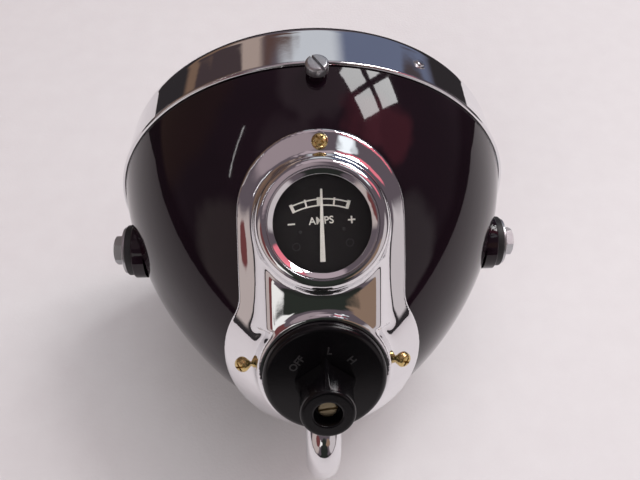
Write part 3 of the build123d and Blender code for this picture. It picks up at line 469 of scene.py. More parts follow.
# Distance in metres under which points are one, angle over which an edge stays sharp, strength of smoothing
MERGE = 1e-6
CREASE = math.radians(32)
SMOOTHING = 0.5

# Noise of the surface pattern: octaves of the broad and of the fine noise, and how much finer the second is
BROAD_DETAIL = 4.0
FINE_DETAIL = 2.0
FINENESS = 9.0

# Sockets of the surface pattern: name, side, kind
PATTERN_SOCKETS = (
    ("Scale", "INPUT", "Float"), ("First", "INPUT", "Color"), ("Second", "INPUT", "Color"),
    ("Rough", "INPUT", "Float"), ("Spread", "INPUT", "Float"),
    ("Color", "OUTPUT", "Color"), ("Roughness", "OUTPUT", "Float"), ("Height", "OUTPUT", "Float"),
)

# Sides of a bolt's head
HEXAGON = 6


def select_only(piece):
    """Select one object and nothing else."""
    bpy.ops.object.select_all(action="DESELECT")
    piece.select_set(True)
    bpy.context.view_layer.objects.active = piece


def arc(centre, radius, start, end, steps):
    """Points (x, y) along an arc between two angles."""
    turns = [start + (end - start) * step / steps for step in range(steps + 1)]
    return [(centre[0] + radius * math.cos(turn), centre[1] + radius * math.sin(turn)) for turn in turns]


def rounded(corners):
    """Outline through (x, y) corners; a third number rounds its corner with that radius."""
    points = []
    for index, corner in enumerate(corners):
        here = Vector(corner[:2])
        if len(corner) < 3:
            points.append(tuple(here))
            continue
        radius = corner[2]
        back = (Vector(corners[index - 1][:2]) - here).normalized()
        ahead = (Vector(corners[(index + 1) % len(corners)][:2]) - here).normalized()
        half = back.angle(ahead) / 2
        middle = here + (back + ahead).normalized() * radius / math.sin(half)
        first = here + back * radius / math.tan(half) - middle
        last = here + ahead * radius / math.tan(half) - middle
        start = math.atan2(first.y, first.x)
        turn = math.atan2(first.cross(last), first.dot(last))
        points += arc(middle, radius, start, start + turn, ROUND_STEPS)
    return points


def rectangle(half_width, half_height):
    """Outline of a rectangle about the origin."""
    return [(-half_width, -half_height), (half_width, -half_height),
            (half_width, half_height), (-half_width, half_height)]


def trace(name, points):
    """Wire through points, extruded from a plane's corners merged into one vertex; stays in edit mode."""
    bpy.ops.object.select_all(action="DESELECT")
    bpy.ops.mesh.primitive_plane_add()
    piece = bpy.context.object
    piece.name = name
    bpy.ops.object.mode_set(mode="EDIT")
    bpy.ops.mesh.select_mode(type="VERT")
    bpy.ops.mesh.select_all(action="SELECT")
    bpy.ops.mesh.merge(type="CENTER")
    bpy.ops.transform.translate(value=points[0])
    for start, end in zip(points, points[1:]):
        bpy.ops.mesh.extrude_region_move(TRANSFORM_OT_translate={"value": end - start})
    bpy.ops.mesh.select_all(action="SELECT")
    return piece


def settle(piece, place):
    """Close the mesh being edited, turn its faces outwards and put it in its place."""
    bpy.ops.mesh.select_all(action="SELECT")
    bpy.ops.mesh.remove_doubles(threshold=MERGE)
    bpy.ops.mesh.normals_make_consistent(inside=False)
    bpy.ops.object.mode_set(mode="OBJECT")
    piece.matrix_world = place
    bpy.ops.object.transform_apply(location=True, rotation=True, scale=True)
    return piece


def turned(name, place, outline, steps):
    """Solid turned about the place's Z from (radius, height) points, closed unless it ends on the axis."""
    points = [Vector((radius, 0, height)) for radius, height in outline]
    if points[0].x > MERGE or points[-1].x > MERGE:
        points.append(points[0])
    piece = trace(name, points)
    bpy.ops.mesh.spin(steps=steps, angle=FULL_TURN, center=(0, 0, 0), axis=(0, 0, 1))
    return settle(piece, place)


def prism(name, place, outline, low, high):
    """Solid between two heights over a closed outline of (x, y) points."""
    points = [Vector((x, y, low)) for x, y in outline]
    piece = trace(name, points + points[:1])
    bpy.ops.mesh.remove_doubles(threshold=MERGE)
    bpy.ops.mesh.edge_face_add()
    bpy.ops.mesh.extrude_region_move(TRANSFORM_OT_translate={"value": (0, 0, high - low)})
    return settle(piece, place)


def tube(name, points, radius, steps):
    """Round bar along points, with closed ends."""
    piece = trace(name, points)
    bpy.ops.object.mode_set(mode="OBJECT")
    bpy.ops.object.convert(target="CURVE")
    piece.data.bevel_depth = radius
    piece.data.bevel_resolution = steps
    piece.data.use_fill_caps = True
    bpy.ops.object.convert(target="MESH")
    bpy.ops.object.mode_set(mode="EDIT")
    return settle(piece, Matrix.Identity(4))


def lettering(name, body, height, thickness, place, bold=0.0, bevel=0.0):
    """Word as a solid, centred on its place; bold thickens its strokes and bevel rounds their edges."""
    bpy.ops.object.select_all(action="DESELECT")
    bpy.ops.object.text_add()
    piece = bpy.context.object
    piece.name = name
    piece.data.body = body
    piece.data.size = height
    piece.data.offset = bold
    piece.data.extrude = thickness / 2 - bevel
    piece.data.bevel_depth = bevel
    piece.data.align_x = "CENTER"
    piece.data.align_y = "CENTER"
    bpy.ops.object.convert(target="MESH")
    bpy.ops.object.mode_set(mode="EDIT")
    return settle(piece, place)


def apply_modifier(piece, kind, **settings):
    """Add a modifier, set it and apply it."""
    select_only(piece)
    bpy.ops.object.modifier_add(type=kind)
    modifier = piece.modifiers[-1]
    for key, value in settings.items():
        setattr(modifier, key, value)
    bpy.ops.object.modifier_apply(modifier=modifier.name)
    if not piece.data.polygons:
        raise RuntimeError(f"{piece.name} lost its mesh in {kind}")


def combine(piece, tool, operation):
    """Join, cut or intersect a piece with a tool, which is then deleted."""
    apply_modifier(piece, "BOOLEAN", operation=operation, solver="MANIFOLD", object=tool)
    mesh = tool.data
    bpy.data.objects.remove(tool)
    bpy.data.meshes.remove(mesh)


def join(pieces):
    """Join several pieces into the first."""
    bpy.ops.object.select_all(action="DESELECT")
    for piece in pieces:
        piece.select_set(True)
    bpy.context.view_layer.objects.active = pieces[0]
    bpy.ops.object.join()
    return pieces[0]


def soften(piece, voxel, rounds):
    """Melt a piece's overlapping solids into one skin and round its edges."""
    apply_modifier(piece, "REMESH", mode="VOXEL", voxel_size=voxel, adaptivity=0.0)
    apply_modifier(piece, "SMOOTH", factor=SMOOTHING, iterations=rounds)


def hand_over(piece, slot, nodes, body="headlamp"):
    """Shade a finished piece, give it its finish and let it stand for its CAD nodes."""
    select_only(piece)
    bpy.ops.object.shade_smooth_by_angle(angle=CREASE)
    piece.data.materials.clear()
    piece.data.materials.append(finish_of(slot))
    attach(piece, body)
    if nodes:
        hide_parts(*nodes)


def place_at(origin, x_way, z_way):
    """Placement with its X and Z along two directions square to each other."""
    x_way = Vector(x_way)
    z_way = Vector(z_way)
    y_way = z_way.cross(x_way)
    return Matrix.Translation(origin) @ Matrix((x_way, y_way, z_way)).transposed().to_4x4()


LAMP_PLACE = place_at((0, 0, 0), (1, 0, 0), (0, 1, 0))


def axis_place(y, z, turn):
    """Placement at (0, y, z) that faces backwards and upwards, by an angle from -Y towards +Z."""
    return place_at((0, y, z), (1, 0, 0), (0, -math.cos(turn), math.sin(turn)))


def bowl_centres(bowl):
    """Centres (radius, y) of the bowl's side arc and nose arc."""
    nose = Vector((0, bowl.nose_tip_y + bowl.nose_radius))
    mouth = Vector((bowl.mouth_radius, bowl.mouth_y))
    span = (nose - mouth).length
    way = (nose - mouth).normalized()
    between = bowl.side_radius - bowl.nose_radius
    along = (bowl.side_radius**2 - between**2 + span**2) / (2 * span)
    across = math.sqrt(bowl.side_radius**2 - along**2)
    return mouth + along * way + across * Vector((way.y, -way.x)), nose


def bowl_radius(bowl, y, grow=0.0):
    """Radius of the bowl's side arc at y."""
    side, _ = bowl_centres(bowl)
    return side.x + math.sqrt((bowl.side_radius + grow) ** 2 - (y - side.y) ** 2)


def bowl_outline(bowl, grow, end_y):
    """Points (radius, y) over the bowl's skin from its tip to end_y, grown along its normals."""
    side, nose = bowl_centres(bowl)
    nose_radius = bowl.nose_radius + grow
    side_radius = bowl.side_radius + grow
    join_turn = math.atan2(nose.y - side.y, nose.x - side.x)
    end_turn = math.asin((end_y - side.y) / side_radius)
    nose_steps = round(nose_radius * (join_turn + QUARTER_TURN) / bowl.row)
    side_steps = round(side_radius * (end_turn - join_turn) / bowl.row)
    points = arc(nose, nose_radius, -QUARTER_TURN, join_turn, nose_steps)
    points[0] = (0.0, points[0][1])
    return points + arc(side, side_radius, join_turn, end_turn, side_steps)[1:]


def bowl_place(bowl, turn, height, swing=0.0):
    """Placement square on the bowl's side arc at a height above it; swing turns it to the right."""
    side, _ = bowl_centres(bowl)
    reach = bowl.side_radius + height
    radius = side.x + reach * math.sin(turn)
    return place_at(
        (radius * math.sin(swing), side.y - reach * math.cos(turn), radius * math.cos(swing)),
        (math.cos(swing), 0, -math.sin(swing)),
        (math.sin(turn) * math.sin(swing), -math.cos(turn), math.sin(turn) * math.cos(swing)),
    )


def bowl_solid(name, bowl, grow, over=0.0):
    """Solid inside the bowl's outer skin, grown outwards and lengthened past its mouth."""
    end_y = bowl.mouth_y + over
    return turned(name, LAMP_PLACE, bowl_outline(bowl, grow, end_y) + [(0.0, end_y)], bowl.steps)


def side_places(bowl):
    """Placements of the two side seats."""
    seat = bowl_radius(bowl, 0.0) + bowl.seat_rise
    return {
        "right": place_at((seat, 0, 0), (0, 1, 0), (1, 0, 0)),
        "left": place_at((-seat, 0, 0), (0, 1, 0), (-1, 0, 0)),
    }


def screw_places(bowl, panel, ammeter):
    """Placements of the panel's three screws."""
    top = ammeter.angle + panel.screw_top_arc / bowl.side_radius
    return [
        bowl_place(bowl, top, panel.height),
        bowl_place(bowl, panel.screw_side_angle, panel.height, panel.screw_side_swing),
        bowl_place(bowl, panel.screw_side_angle, panel.height, -panel.screw_side_swing),
    ]


def rim_screw_place(bowl, rim):
    """Placement of the rim screw's seat at the top of the bowl."""
    seat = bowl.mouth_radius + rim.fit + rim.sheet + rim.bead_lift + rim.loose
    return place_at((0, bowl.mouth_y - rim.screw_setback, seat), (1, 0, 0), (0, 0, 1))


def bar(name, place, radius, low, high, steps=SCREW_STEPS):
    """Plain round cutter between two heights."""
    return turned(name, place, [(0.0, low), (radius, low), (radius, high), (0.0, high)], steps)


def spout_path(panel, bowl, inset, over):
    """Points along the spout's elbow from inside the nose to its lower end, which over lengthens."""
    corner = Vector((0, panel.spout_leg_y + panel.spout_bend, panel.spout_z - panel.spout_bend))
    bend = arc((corner.y, corner.z), panel.spout_bend, QUARTER_TURN, HALF_TURN, 3 * ROUND_STEPS)
    start = Vector((0, bowl.nose_tip_y + inset, panel.spout_z))
    end = Vector((0, panel.spout_leg_y, panel.spout_z - panel.spout_drop - over))
    return [start] + [Vector((0, y, z)) for y, z in bend] + [end]


def panel_plan(bowl, panel, ammeter, switch):
    """Closed outline of the panel, seen square on to its tilt: head, waists and tail."""
    upward = axis_place(0, 0, panel.tilt).to_3x3() @ Vector((0, 1, 0))
    switch_place = axis_place(switch.face_y, switch.face_z, switch.angle)
    head_v = bowl_place(bowl, ammeter.angle, 0.0).translation.dot(upward) + panel.head_shift
    tail_v = switch_place.translation.dot(upward) + panel.tail_shift
    waist_x = panel.head_radius + panel.waist_round
    waist_v = math.sqrt((panel.tail_radius + panel.waist_round) ** 2 - waist_x**2)
    waist_turn = math.atan2(waist_v, waist_x)
    steps = 8 * ROUND_STEPS
    right = arc((0, head_v), panel.head_radius, QUARTER_TURN, 0.0, steps)
    right += arc((waist_x, tail_v + waist_v), panel.waist_round, HALF_TURN, HALF_TURN + waist_turn, steps)
    right += arc((0, tail_v), panel.tail_radius, waist_turn, -QUARTER_TURN, steps)
    left = [(-x, v) for x, v in right[-2:0:-1]]
    return right + left


def bridge_arch(panel):
    """Section of the bridge: leaning flanks, rounded edges and a crowned top."""
    base = panel.bridge_half + panel.bridge_draft
    foot = -2 * panel.bridge_height
    crown_turn = math.asin(panel.bridge_half / panel.bridge_crown)
    crown = arc((0, -panel.bridge_crown), panel.bridge_crown, QUARTER_TURN - crown_turn,
                QUARTER_TURN + crown_turn, ROUND_STEPS)
    return rounded([(-base, foot), (base, foot), (*crown[0], panel.bridge_round), *crown[1:-1],
                    (*crown[-1], panel.bridge_round)])


def pattern_group():
    """Shared node group: broad and fine noise over Object coordinates, for colour, roughness and bump."""
    group = bpy.data.node_groups.get("surface_pattern")
    if group:
        return group
    group = bpy.data.node_groups.new("surface_pattern", "ShaderNodeTree")
    for name, side, kind in PATTERN_SOCKETS:
        group.interface.new_socket(name, in_out=side, socket_type=f"NodeSocket{kind}")
    nodes = group.nodes
    links = group.links
    entry = nodes.new("NodeGroupInput")
    leave = nodes.new("NodeGroupOutput")
    place = nodes.new("ShaderNodeTexCoord")
    broad = nodes.new("ShaderNodeTexNoise")
    broad.inputs["Detail"].default_value = BROAD_DETAIL
    fine = nodes.new("ShaderNodeTexNoise")
    fine.inputs["Detail"].default_value = FINE_DETAIL
    finer = nodes.new("ShaderNodeMath")
    finer.operation = "MULTIPLY"
    finer.inputs[1].default_value = FINENESS
    mix = nodes.new("ShaderNodeMix")
    mix.data_type = "RGBA"
    spread = nodes.new("ShaderNodeMath")
    spread.operation = "MULTIPLY_ADD"
    links.new(place.outputs["Object"], broad.inputs["Vector"])
    links.new(place.outputs["Object"], fine.inputs["Vector"])
    links.new(entry.outputs["Scale"], broad.inputs["Scale"])
    links.new(entry.outputs["Scale"], finer.inputs[0])
    links.new(finer.outputs[0], fine.inputs["Scale"])
    links.new(broad.outputs["Fac"], mix.inputs["Factor"])
    links.new(entry.outputs["First"], mix.inputs["A"])
    links.new(entry.outputs["Second"], mix.inputs["B"])
    links.new(fine.outputs["Fac"], spread.inputs[0])
    links.new(entry.outputs["Spread"], spread.inputs[1])
    links.new(entry.outputs["Rough"], spread.inputs[2])
    links.new(mix.outputs["Result"], leave.inputs["Color"])
    links.new(spread.outputs[0], leave.inputs["Roughness"])
    links.new(fine.outputs["Fac"], leave.inputs["Height"])
    return group


def finish_of(slot):
    """Material of a slot, made once."""
    material = bpy.data.materials.get(f"finish_{slot}")
    if material:
        return material
    colours = bpy.context.scene.lamp_colours
    material = bpy.data.materials.new(f"finish_{slot}")
    material.use_nodes = True
    nodes = material.node_tree.nodes
    links = material.node_tree.links
    shader = nodes["Principled BSDF"]
    pattern = nodes.new("ShaderNodeGroup")
    pattern.node_tree = pattern_group()
    bump = nodes.new("ShaderNodeBump")
    pattern.inputs["First"].default_value = (*getattr(colours, slot), 1.0)
    pattern.inputs["Second"].default_value = (*getattr(colours, f"{slot}_second"), 1.0)
    if slot in GLASSES:
        rough, spread, index, alpha, scale, height = GLASSES[slot]
        shader.inputs["Transmission Weight"].default_value = 1.0
        shader.inputs["IOR"].default_value = index
        shader.inputs["Alpha"].default_value = alpha
    else:
        rough, spread, metallic, index, scale, height = FINISHES[slot]
        shader.inputs["Metallic"].default_value = metallic
        shader.inputs["IOR"].default_value = index
    pattern.inputs["Scale"].default_value = scale
    pattern.inputs["Rough"].default_value = rough
    pattern.inputs["Spread"].default_value = spread
    bump.inputs["Strength"].default_value = 1.0
    bump.inputs["Distance"].default_value = height
    links.new(pattern.outputs["Color"], shader.inputs["Base Color"])
    links.new(pattern.outputs["Roughness"], shader.inputs["Roughness"])
    links.new(pattern.outputs["Height"], bump.inputs["Height"])
    links.new(bump.outputs["Normal"], shader.inputs["Normal"])
    return material


class LAMP_OT_shell(bpy.types.Operator):
    """Build the painted bowl with its stepped mouth, side bosses and openings"""

    bl_idname = "lamp.shell"
    bl_label = "Shell"

    def execute(self, context):
        bowl = context.scene.lamp_bowl
        panel = context.scene.lamp_panel
        ammeter = context.scene.lamp_ammeter
        switch = context.scene.lamp_switch
        rim = context.scene.lamp_rim
        spigot = bowl.mouth_radius - bowl.spigot_step
        step_y = bowl.mouth_y - bowl.wall
        inner = bowl_outline(bowl, -bowl.wall, step_y)
        outline = bowl_outline(bowl, 0.0, bowl.mouth_y)
        outline += [(spigot, bowl.mouth_y), (spigot, bowl.mouth_y + bowl.spigot_length),
                    (spigot - bowl.wall, bowl.mouth_y + bowl.spigot_length), (spigot - bowl.wall, step_y)]
        shell = turned("shell_skin", LAMP_PLACE, outline + inner[::-1], bowl.steps)
        for place in side_places(bowl).values():
            boss = rounded([(0.0, -bowl.boss_depth), (bowl.boss_radius, -bowl.boss_depth),
                            (bowl.boss_radius, 0.0, bowl.boss_round), (0.0, 0.0)])
            combine(shell, turned("boss", place, boss, WASHER_STEPS), "UNION")
            seat = bar("seat", place, bowl.seat_radius, 0.0, 2 * bowl.boss_depth, WASHER_STEPS)
            combine(shell, seat, "DIFFERENCE")
            combine(shell, bar("hole", place, bowl.bolt_hole, -2 * bowl.boss_depth, bowl.wall), "DIFFERENCE")
        screw = rim_screw_place(bowl, rim)
        combine(shell, bar("boss", screw, bowl.screw_boss_radius, -bowl.screw_boss_foot, 0.0), "UNION")
        hole = bar("hole", screw, rim.screw_shank, -2 * bowl.screw_boss_foot, bowl.wall)
        combine(shell, hole, "DIFFERENCE")
        meter_place = bowl_place(bowl, ammeter.angle, ammeter.proud)
        meter_opening = ammeter.collar_radius - panel.sheet
        combine(shell, bar("cut", meter_place, meter_opening, -2 * bowl.opening_reach, 0.0), "DIFFERENCE")
        switch_place = axis_place(switch.face_y, switch.face_z, switch.angle)
        switch_opening = switch.collar_radius - panel.sheet
        combine(shell, bar("cut", switch_place, switch_opening, -2 * bowl.opening_reach, 0.0), "DIFFERENCE")
        opening = rectangle(bowl.opening_half, bowl.opening_reach)
        cut = prism("cut", axis_place(0, 0, panel.tilt), opening, 0.0, 2 * bowl.mouth_radius)
        combine(shell, cut, "DIFFERENCE")
        for place in screw_places(bowl, panel, ammeter):
            hole = bar("hole", place, panel.screw_shank, -2 * panel.screw_length, 0.0, RIVET_STEPS)
            combine(shell, hole, "DIFFERENCE")
        spout = place_at((0, bowl.nose_tip_y, panel.spout_z), (1, 0, 0), (0, -1, 0))
        spout_hole = panel.spout_radius + rim.loose
        combine(shell, bar("hole", spout, spout_hole, -bowl.nose_radius / 2, bowl.nose_radius), "DIFFERENCE")
        hand_over(shell, "black_paint", ["shell"])
        return {"FINISHED"}


class LAMP_OT_rim(bpy.types.Operator):
    """Build the chrome rim with its bead, roll and lip, and the rivets in its band"""

    bl_idname = "lamp.rim"
    bl_label = "Rim"

    def execute(self, context):
        bowl = context.scene.lamp_bowl
        rim = context.scene.lamp_rim
        rear_y = bowl.mouth_y + rim.fit
        front_y = rear_y + rim.depth
        outer = bowl.mouth_radius + rim.fit + rim.sheet
        front = outer - rim.taper
        roll_y = front_y - rim.roll_radius
        roll_r = front - rim.roll_radius
        lip = roll_r - rim.lip_width
        bead = (outer + rim.bead_lift - rim.bead_radius, rear_y + rim.bead_radius)
        bead_in = math.acos((outer - rim.sheet - bead[0]) / rim.bead_radius)
        bead_out = math.acos((outer - bead[0]) / rim.bead_radius)
        outline = arc(bead, rim.bead_radius, bead_in, FULL_TURN + bead_out, 4 * ROUND_STEPS)
        band_start = Vector(outline[-1])
        band_end = Vector((front, roll_y))
        band_steps = round((band_end - band_start).length / bowl.row)
        outline += [tuple(band_start.lerp(band_end, step / band_steps)) for step in range(1, band_steps)]
        outline += arc((roll_r, roll_y), rim.roll_radius, 0.0, QUARTER_TURN, 2 * ROUND_STEPS)
        outline += [(lip, front_y), (lip, front_y - rim.sheet)]
        outline += arc((roll_r, roll_y), rim.roll_radius - rim.sheet, QUARTER_TURN, 0.0, 2 * ROUND_STEPS)
        piece = turned("rim_ring", LAMP_PLACE, outline, bowl.steps)
        rivet_y = front_y - rim.rivet_setback
        slope = math.atan2(rim.taper, roll_y - rear_y)
        rivet_r = outer - rim.taper * (rivet_y - rear_y) / (roll_y - rear_y)
        inner = -rim.rivet_grip
        head = rounded([(0.0, inner - rim.rivet_flange), (rim.rivet_radius, inner - rim.rivet_flange),
                        (rim.rivet_radius, inner), (rim.rivet_shank, inner), (rim.rivet_shank, 0.0),
                        (rim.rivet_radius, 0.0), (rim.rivet_radius, rim.rivet_flange, rim.rivet_flange / 2),
                        (rim.rivet_dome, rim.rivet_flange),
                        (rim.rivet_dome, rim.rivet_height, rim.rivet_height / 2), (0.0, rim.rivet_height)])
        rivets = []
        for index in range(rim.rivet_count):
            around = rim.rivet_start + FULL_TURN * index / rim.rivet_count
            out = Vector((math.sin(around), 0, math.cos(around)))
            along = Vector((math.cos(around), 0, -math.sin(around)))
            way = out * math.cos(slope) + Vector((0, math.sin(slope), 0))
            place = place_at(out * rivet_r + Vector((0, rivet_y, 0)), along, way)
            hole = bar("hole", place, rim.rivet_shank, -rim.rivet_setback / 2, rim.rivet_setback, PIP_STEPS)
            combine(piece, hole, "DIFFERENCE")
            rivets.append(turned(f"rim_rivet_{index + 1}", place, head, RIVET_STEPS))
        hand_over(piece, "chrome", ["rim"])
        hand_over(join(rivets), "chrome", ["rim_rivets"])
        return {"FINISHED"}


class LAMP_OT_rim_screw(bpy.types.Operator):
    """Build the slotted screw at the top of the rim"""

    bl_idname = "lamp.rim_screw"
    bl_label = "Rim Screw"

    def execute(self, context):
        bowl = context.scene.lamp_bowl
        rim = context.scene.lamp_rim
        place = rim_screw_place(bowl, rim)
        outline = rounded([(0.0, -rim.screw_length), (rim.screw_shank, -rim.screw_length),
                           (rim.screw_shank, 0.0), (rim.screw_radius, 0.0, rim.screw_round / 4),
                           (rim.screw_radius, rim.screw_height, rim.screw_round), (0.0, rim.screw_height)])
        screw = turned("rim_screw_turned", place, outline, RIM_SCREW_STEPS)
        slot_place = place @ Matrix.Rotation(rim.screw_slot_turn, 4, "Z")
        slot_floor = rim.screw_height - rim.screw_slot_depth
        reach = 2 * rim.screw_radius
        slot = rectangle(reach, rim.screw_slot / 2)
        combine(screw, prism("slot", slot_place, slot, slot_floor, reach), "DIFFERENCE")
        hand_over(screw, "zinc", ["rim_screw"])
        return {"FINISHED"}


class LAMP_OT_front(bpy.types.Operator):
    """Build the front glass and the reflector behind it"""

    bl_idname = "lamp.front"
    bl_label = "Front Glass and Reflector"

    def execute(self, context):
        bowl = context.scene.lamp_bowl
        rim = context.scene.lamp_rim
        front_y = bowl.mouth_y + rim.fit + rim.depth
        lip = bowl.mouth_radius + rim.fit + rim.sheet - rim.taper - rim.roll_radius - rim.lip_width
        glass_front = front_y - rim.sheet - rim.seal
        glass_back = glass_front - rim.flange
        edge = lip + rim.flange_width
        dome_edge = lip - rim.loose
        sphere = (dome_edge**2 + rim.dome**2) / (2 * rim.dome)
        centre = (0.0, glass_front + rim.dome - sphere)
        inner = sphere - rim.glass
        outer_turn = math.asin((glass_front - centre[1]) / sphere)
        inner_turn = math.asin((glass_back - centre[1]) / inner)
        outline = arc(centre, sphere, QUARTER_TURN, outer_turn, GLASS_ARC_STEPS)
        outline += [(edge, glass_front), (edge, glass_back)]
        outline += arc(centre, inner, inner_turn, QUARTER_TURN, GLASS_ARC_STEPS)
        outline[0] = (0.0, outline[0][1])
        outline[-1] = (0.0, outline[-1][1])
        lens = turned("lens_glass_dome", LAMP_PLACE, outline, COLLAR_STEPS)
        hand_over(lens, "lens_glass", ["lens"])

        mirror_back = glass_back - rim.mirror_sheet
        mouth = dome_edge - rim.mirror_inset
        vertex_y = mirror_back - mouth**2 / (4 * rim.mirror_focus)
        steps = 4 * ROUND_STEPS
        radii = [rim.mirror_neck + (mouth - rim.mirror_neck) * step / steps for step in range(steps + 1)]
        skin = [(radius, vertex_y + radius**2 / (4 * rim.mirror_focus)) for radius in radii]
        outer_skin = []
        for radius, y in skin:
            length = math.hypot(2 * radius, 4 * rim.mirror_focus)
            outer_skin.append((radius + rim.mirror_sheet * 2 * radius / length,
                               y - rim.mirror_sheet * 4 * rim.mirror_focus / length))
        neck_rear = skin[0][1] - rim.mirror_neck_length
        neck = rim.mirror_neck + rim.mirror_sheet
        outline = [(rim.mirror_neck, neck_rear)] + skin
        outline += [(mouth, glass_back), (edge, glass_back), (edge, mirror_back)]
        outline += [point for point in outer_skin[::-1] if point[0] > neck and point[1] < mirror_back]
        outline += [(neck, outer_skin[1][1]), (neck, neck_rear)]
        mirror = turned("reflector_bowl", LAMP_PLACE, outline, COLLAR_STEPS)
        pilot_y = vertex_y + rim.pilot_drop**2 / (4 * rim.mirror_focus)
        pilot = place_at((0, pilot_y, -rim.pilot_drop), (1, 0, 0), (0, 1, 0))
        socket = rim.pilot_hole + rim.mirror_sheet
        combine(mirror, bar("socket", pilot, socket, -rim.pilot_depth, 0.0), "UNION")
        hole = bar("hole", pilot, rim.pilot_hole, -2 * rim.pilot_depth, rim.pilot_depth)
        combine(mirror, hole, "DIFFERENCE")
        hand_over(mirror, "reflector_silver", ["reflector"])
        return {"FINISHED"}


class LAMP_OT_panel(bpy.types.Operator):
    """Build the chrome panel as one pressing with two collars, a bridge and the cable spout"""

    bl_idname = "lamp.panel"
    bl_label = "Panel"

    def execute(self, context):
        bowl = context.scene.lamp_bowl
        panel = context.scene.lamp_panel
        ammeter = context.scene.lamp_ammeter
        switch = context.scene.lamp_switch
        tilt = axis_place(0, 0, panel.tilt)
        meter_place = bowl_place(bowl, ammeter.angle, ammeter.proud)
        switch_place = axis_place(switch.face_y, switch.face_z, switch.angle)
        plate = bowl_solid("panel_skin", bowl, panel.height)
        plan = panel_plan(bowl, panel, ammeter, switch)
        combine(plate, prism("plan", tilt, plan, panel.plan_foot, 2 * bowl.mouth_radius), "INTERSECT")

        foot = -2 * ammeter.proud
        boss = rounded([(0.0, foot), (ammeter.collar_radius + ammeter.collar_draft, foot),
                        (ammeter.collar_radius, 0.0, ammeter.collar_round), (0.0, 0.0)])
        top = -switch.collar_drop
        collar = rounded([(0.0, -switch.collar_depth),
                          (switch.collar_radius + switch.collar_draft, -switch.collar_depth),
                          (switch.collar_radius, top, switch.collar_round), (0.0, top)])
        bridge = bowl_place(bowl, panel.bridge_angle, panel.bridge_height)
        along = bridge.to_3x3() @ Vector((0, 1, 0))
        arch_place = place_at(bridge.translation, (1, 0, 0), -along)
        parts = [
            plate,
            turned("boss", meter_place, boss, COLLAR_STEPS),
            turned("collar", switch_place, collar, COLLAR_STEPS),
            prism("arch", arch_place, bridge_arch(panel), -panel.bridge_rise, panel.bridge_reach),
            tube("spout", spout_path(panel, bowl, panel.spout_radius, 0.0), panel.spout_radius, SPOUT_STEPS),
        ]
        join(parts)
        # The first softening fills the corners, and the crisp copy brings back the edges that it wore away
        select_only(plate)
        bpy.ops.object.duplicate()
        crisp = bpy.context.object
        soften(plate, panel.fillet_voxel, panel.fillet_rounds)
        join([plate, crisp])
        soften(plate, panel.edge_voxel, panel.edge_rounds)

        deep = -2 * switch.collar_depth
        bores = (
            (meter_place, ammeter.bore, ammeter.ledge_bore, ammeter.pocket, -ammeter.bezel_depth),
            (switch_place, switch.collar_bore, switch.ledge_bore, switch.pocket, -switch.cover_depth),
        )
        for place, mouth, ledge, pocket, shelf in bores:
            bore = [(0.0, ammeter.proud), (mouth, ammeter.proud), (mouth, shelf), (ledge, shelf),
                    (ledge, shelf - panel.sheet), (pocket, shelf - panel.sheet), (pocket, deep), (0.0, deep)]
            combine(plate, turned("bore", place, bore, COLLAR_STEPS), "DIFFERENCE")
        bore_path = spout_path(panel, bowl, panel.spout_radius * 2, panel.spout_wall)
        bore = tube("bore", bore_path, panel.spout_radius - panel.spout_wall, SPOUT_BORE_STEPS)
        combine(plate, bore, "DIFFERENCE")
        for place in screw_places(bowl, panel, ammeter):
            hole = bar("hole", place, panel.screw_shank, -panel.screw_length, panel.height, RIVET_STEPS)
            combine(plate, hole, "DIFFERENCE")
        combine(plate, bowl_solid("under", bowl, panel.gap, bowl.spigot_length), "DIFFERENCE")
        hand_over(plate, "chrome", ["panel"])
        return {"FINISHED"}


class LAMP_OT_panel_screws(bpy.types.Operator):
    """Build one panel screw with its cross recess and copy it to its three places"""

    bl_idname = "lamp.panel_screws"
    bl_label = "Panel Screws"

    def execute(self, context):
        panel = context.scene.lamp_panel
        outline = rounded([(0.0, -panel.screw_length), (panel.screw_shank, -panel.screw_length),
                           (panel.screw_shank, 0.0), (panel.screw_radius, 0.0),
                           (panel.screw_radius, panel.screw_height, panel.screw_round),
                           (0.0, panel.screw_height)])
        model = turned("panel_screw_model", Matrix.Identity(4), outline, SCREW_STEPS)
        cross = rectangle(panel.screw_cross_length / 2, panel.screw_cross / 2)
        cross_floor = panel.screw_height - panel.screw_cross_depth
        for turn in (0.0, QUARTER_TURN):
            spot = Matrix.Rotation(turn, 4, "Z")
            combine(model, prism("cross", spot, cross, cross_floor, 2 * panel.screw_height), "DIFFERENCE")
        places = screw_places(context.scene.lamp_bowl, panel, context.scene.lamp_ammeter)
        screws = []
        for index, place in enumerate(places):
            select_only(model)
            bpy.ops.object.duplicate()
            screw = bpy.context.object
            screw.name = f"panel_screw_{index + 1}"
            screw.matrix_world = place @ Matrix.Rotation(index * panel.screw_turn + QUARTER_TURN / 2, 4, "Z")
            bpy.ops.object.transform_apply(location=True, rotation=True, scale=True)
            screws.append(screw)
        mesh = model.data
        bpy.data.objects.remove(model)
        bpy.data.meshes.remove(mesh)
        for screw in screws:
            hand_over(screw, "yellow_zinc", ["panel_screws"])
        return {"FINISHED"}


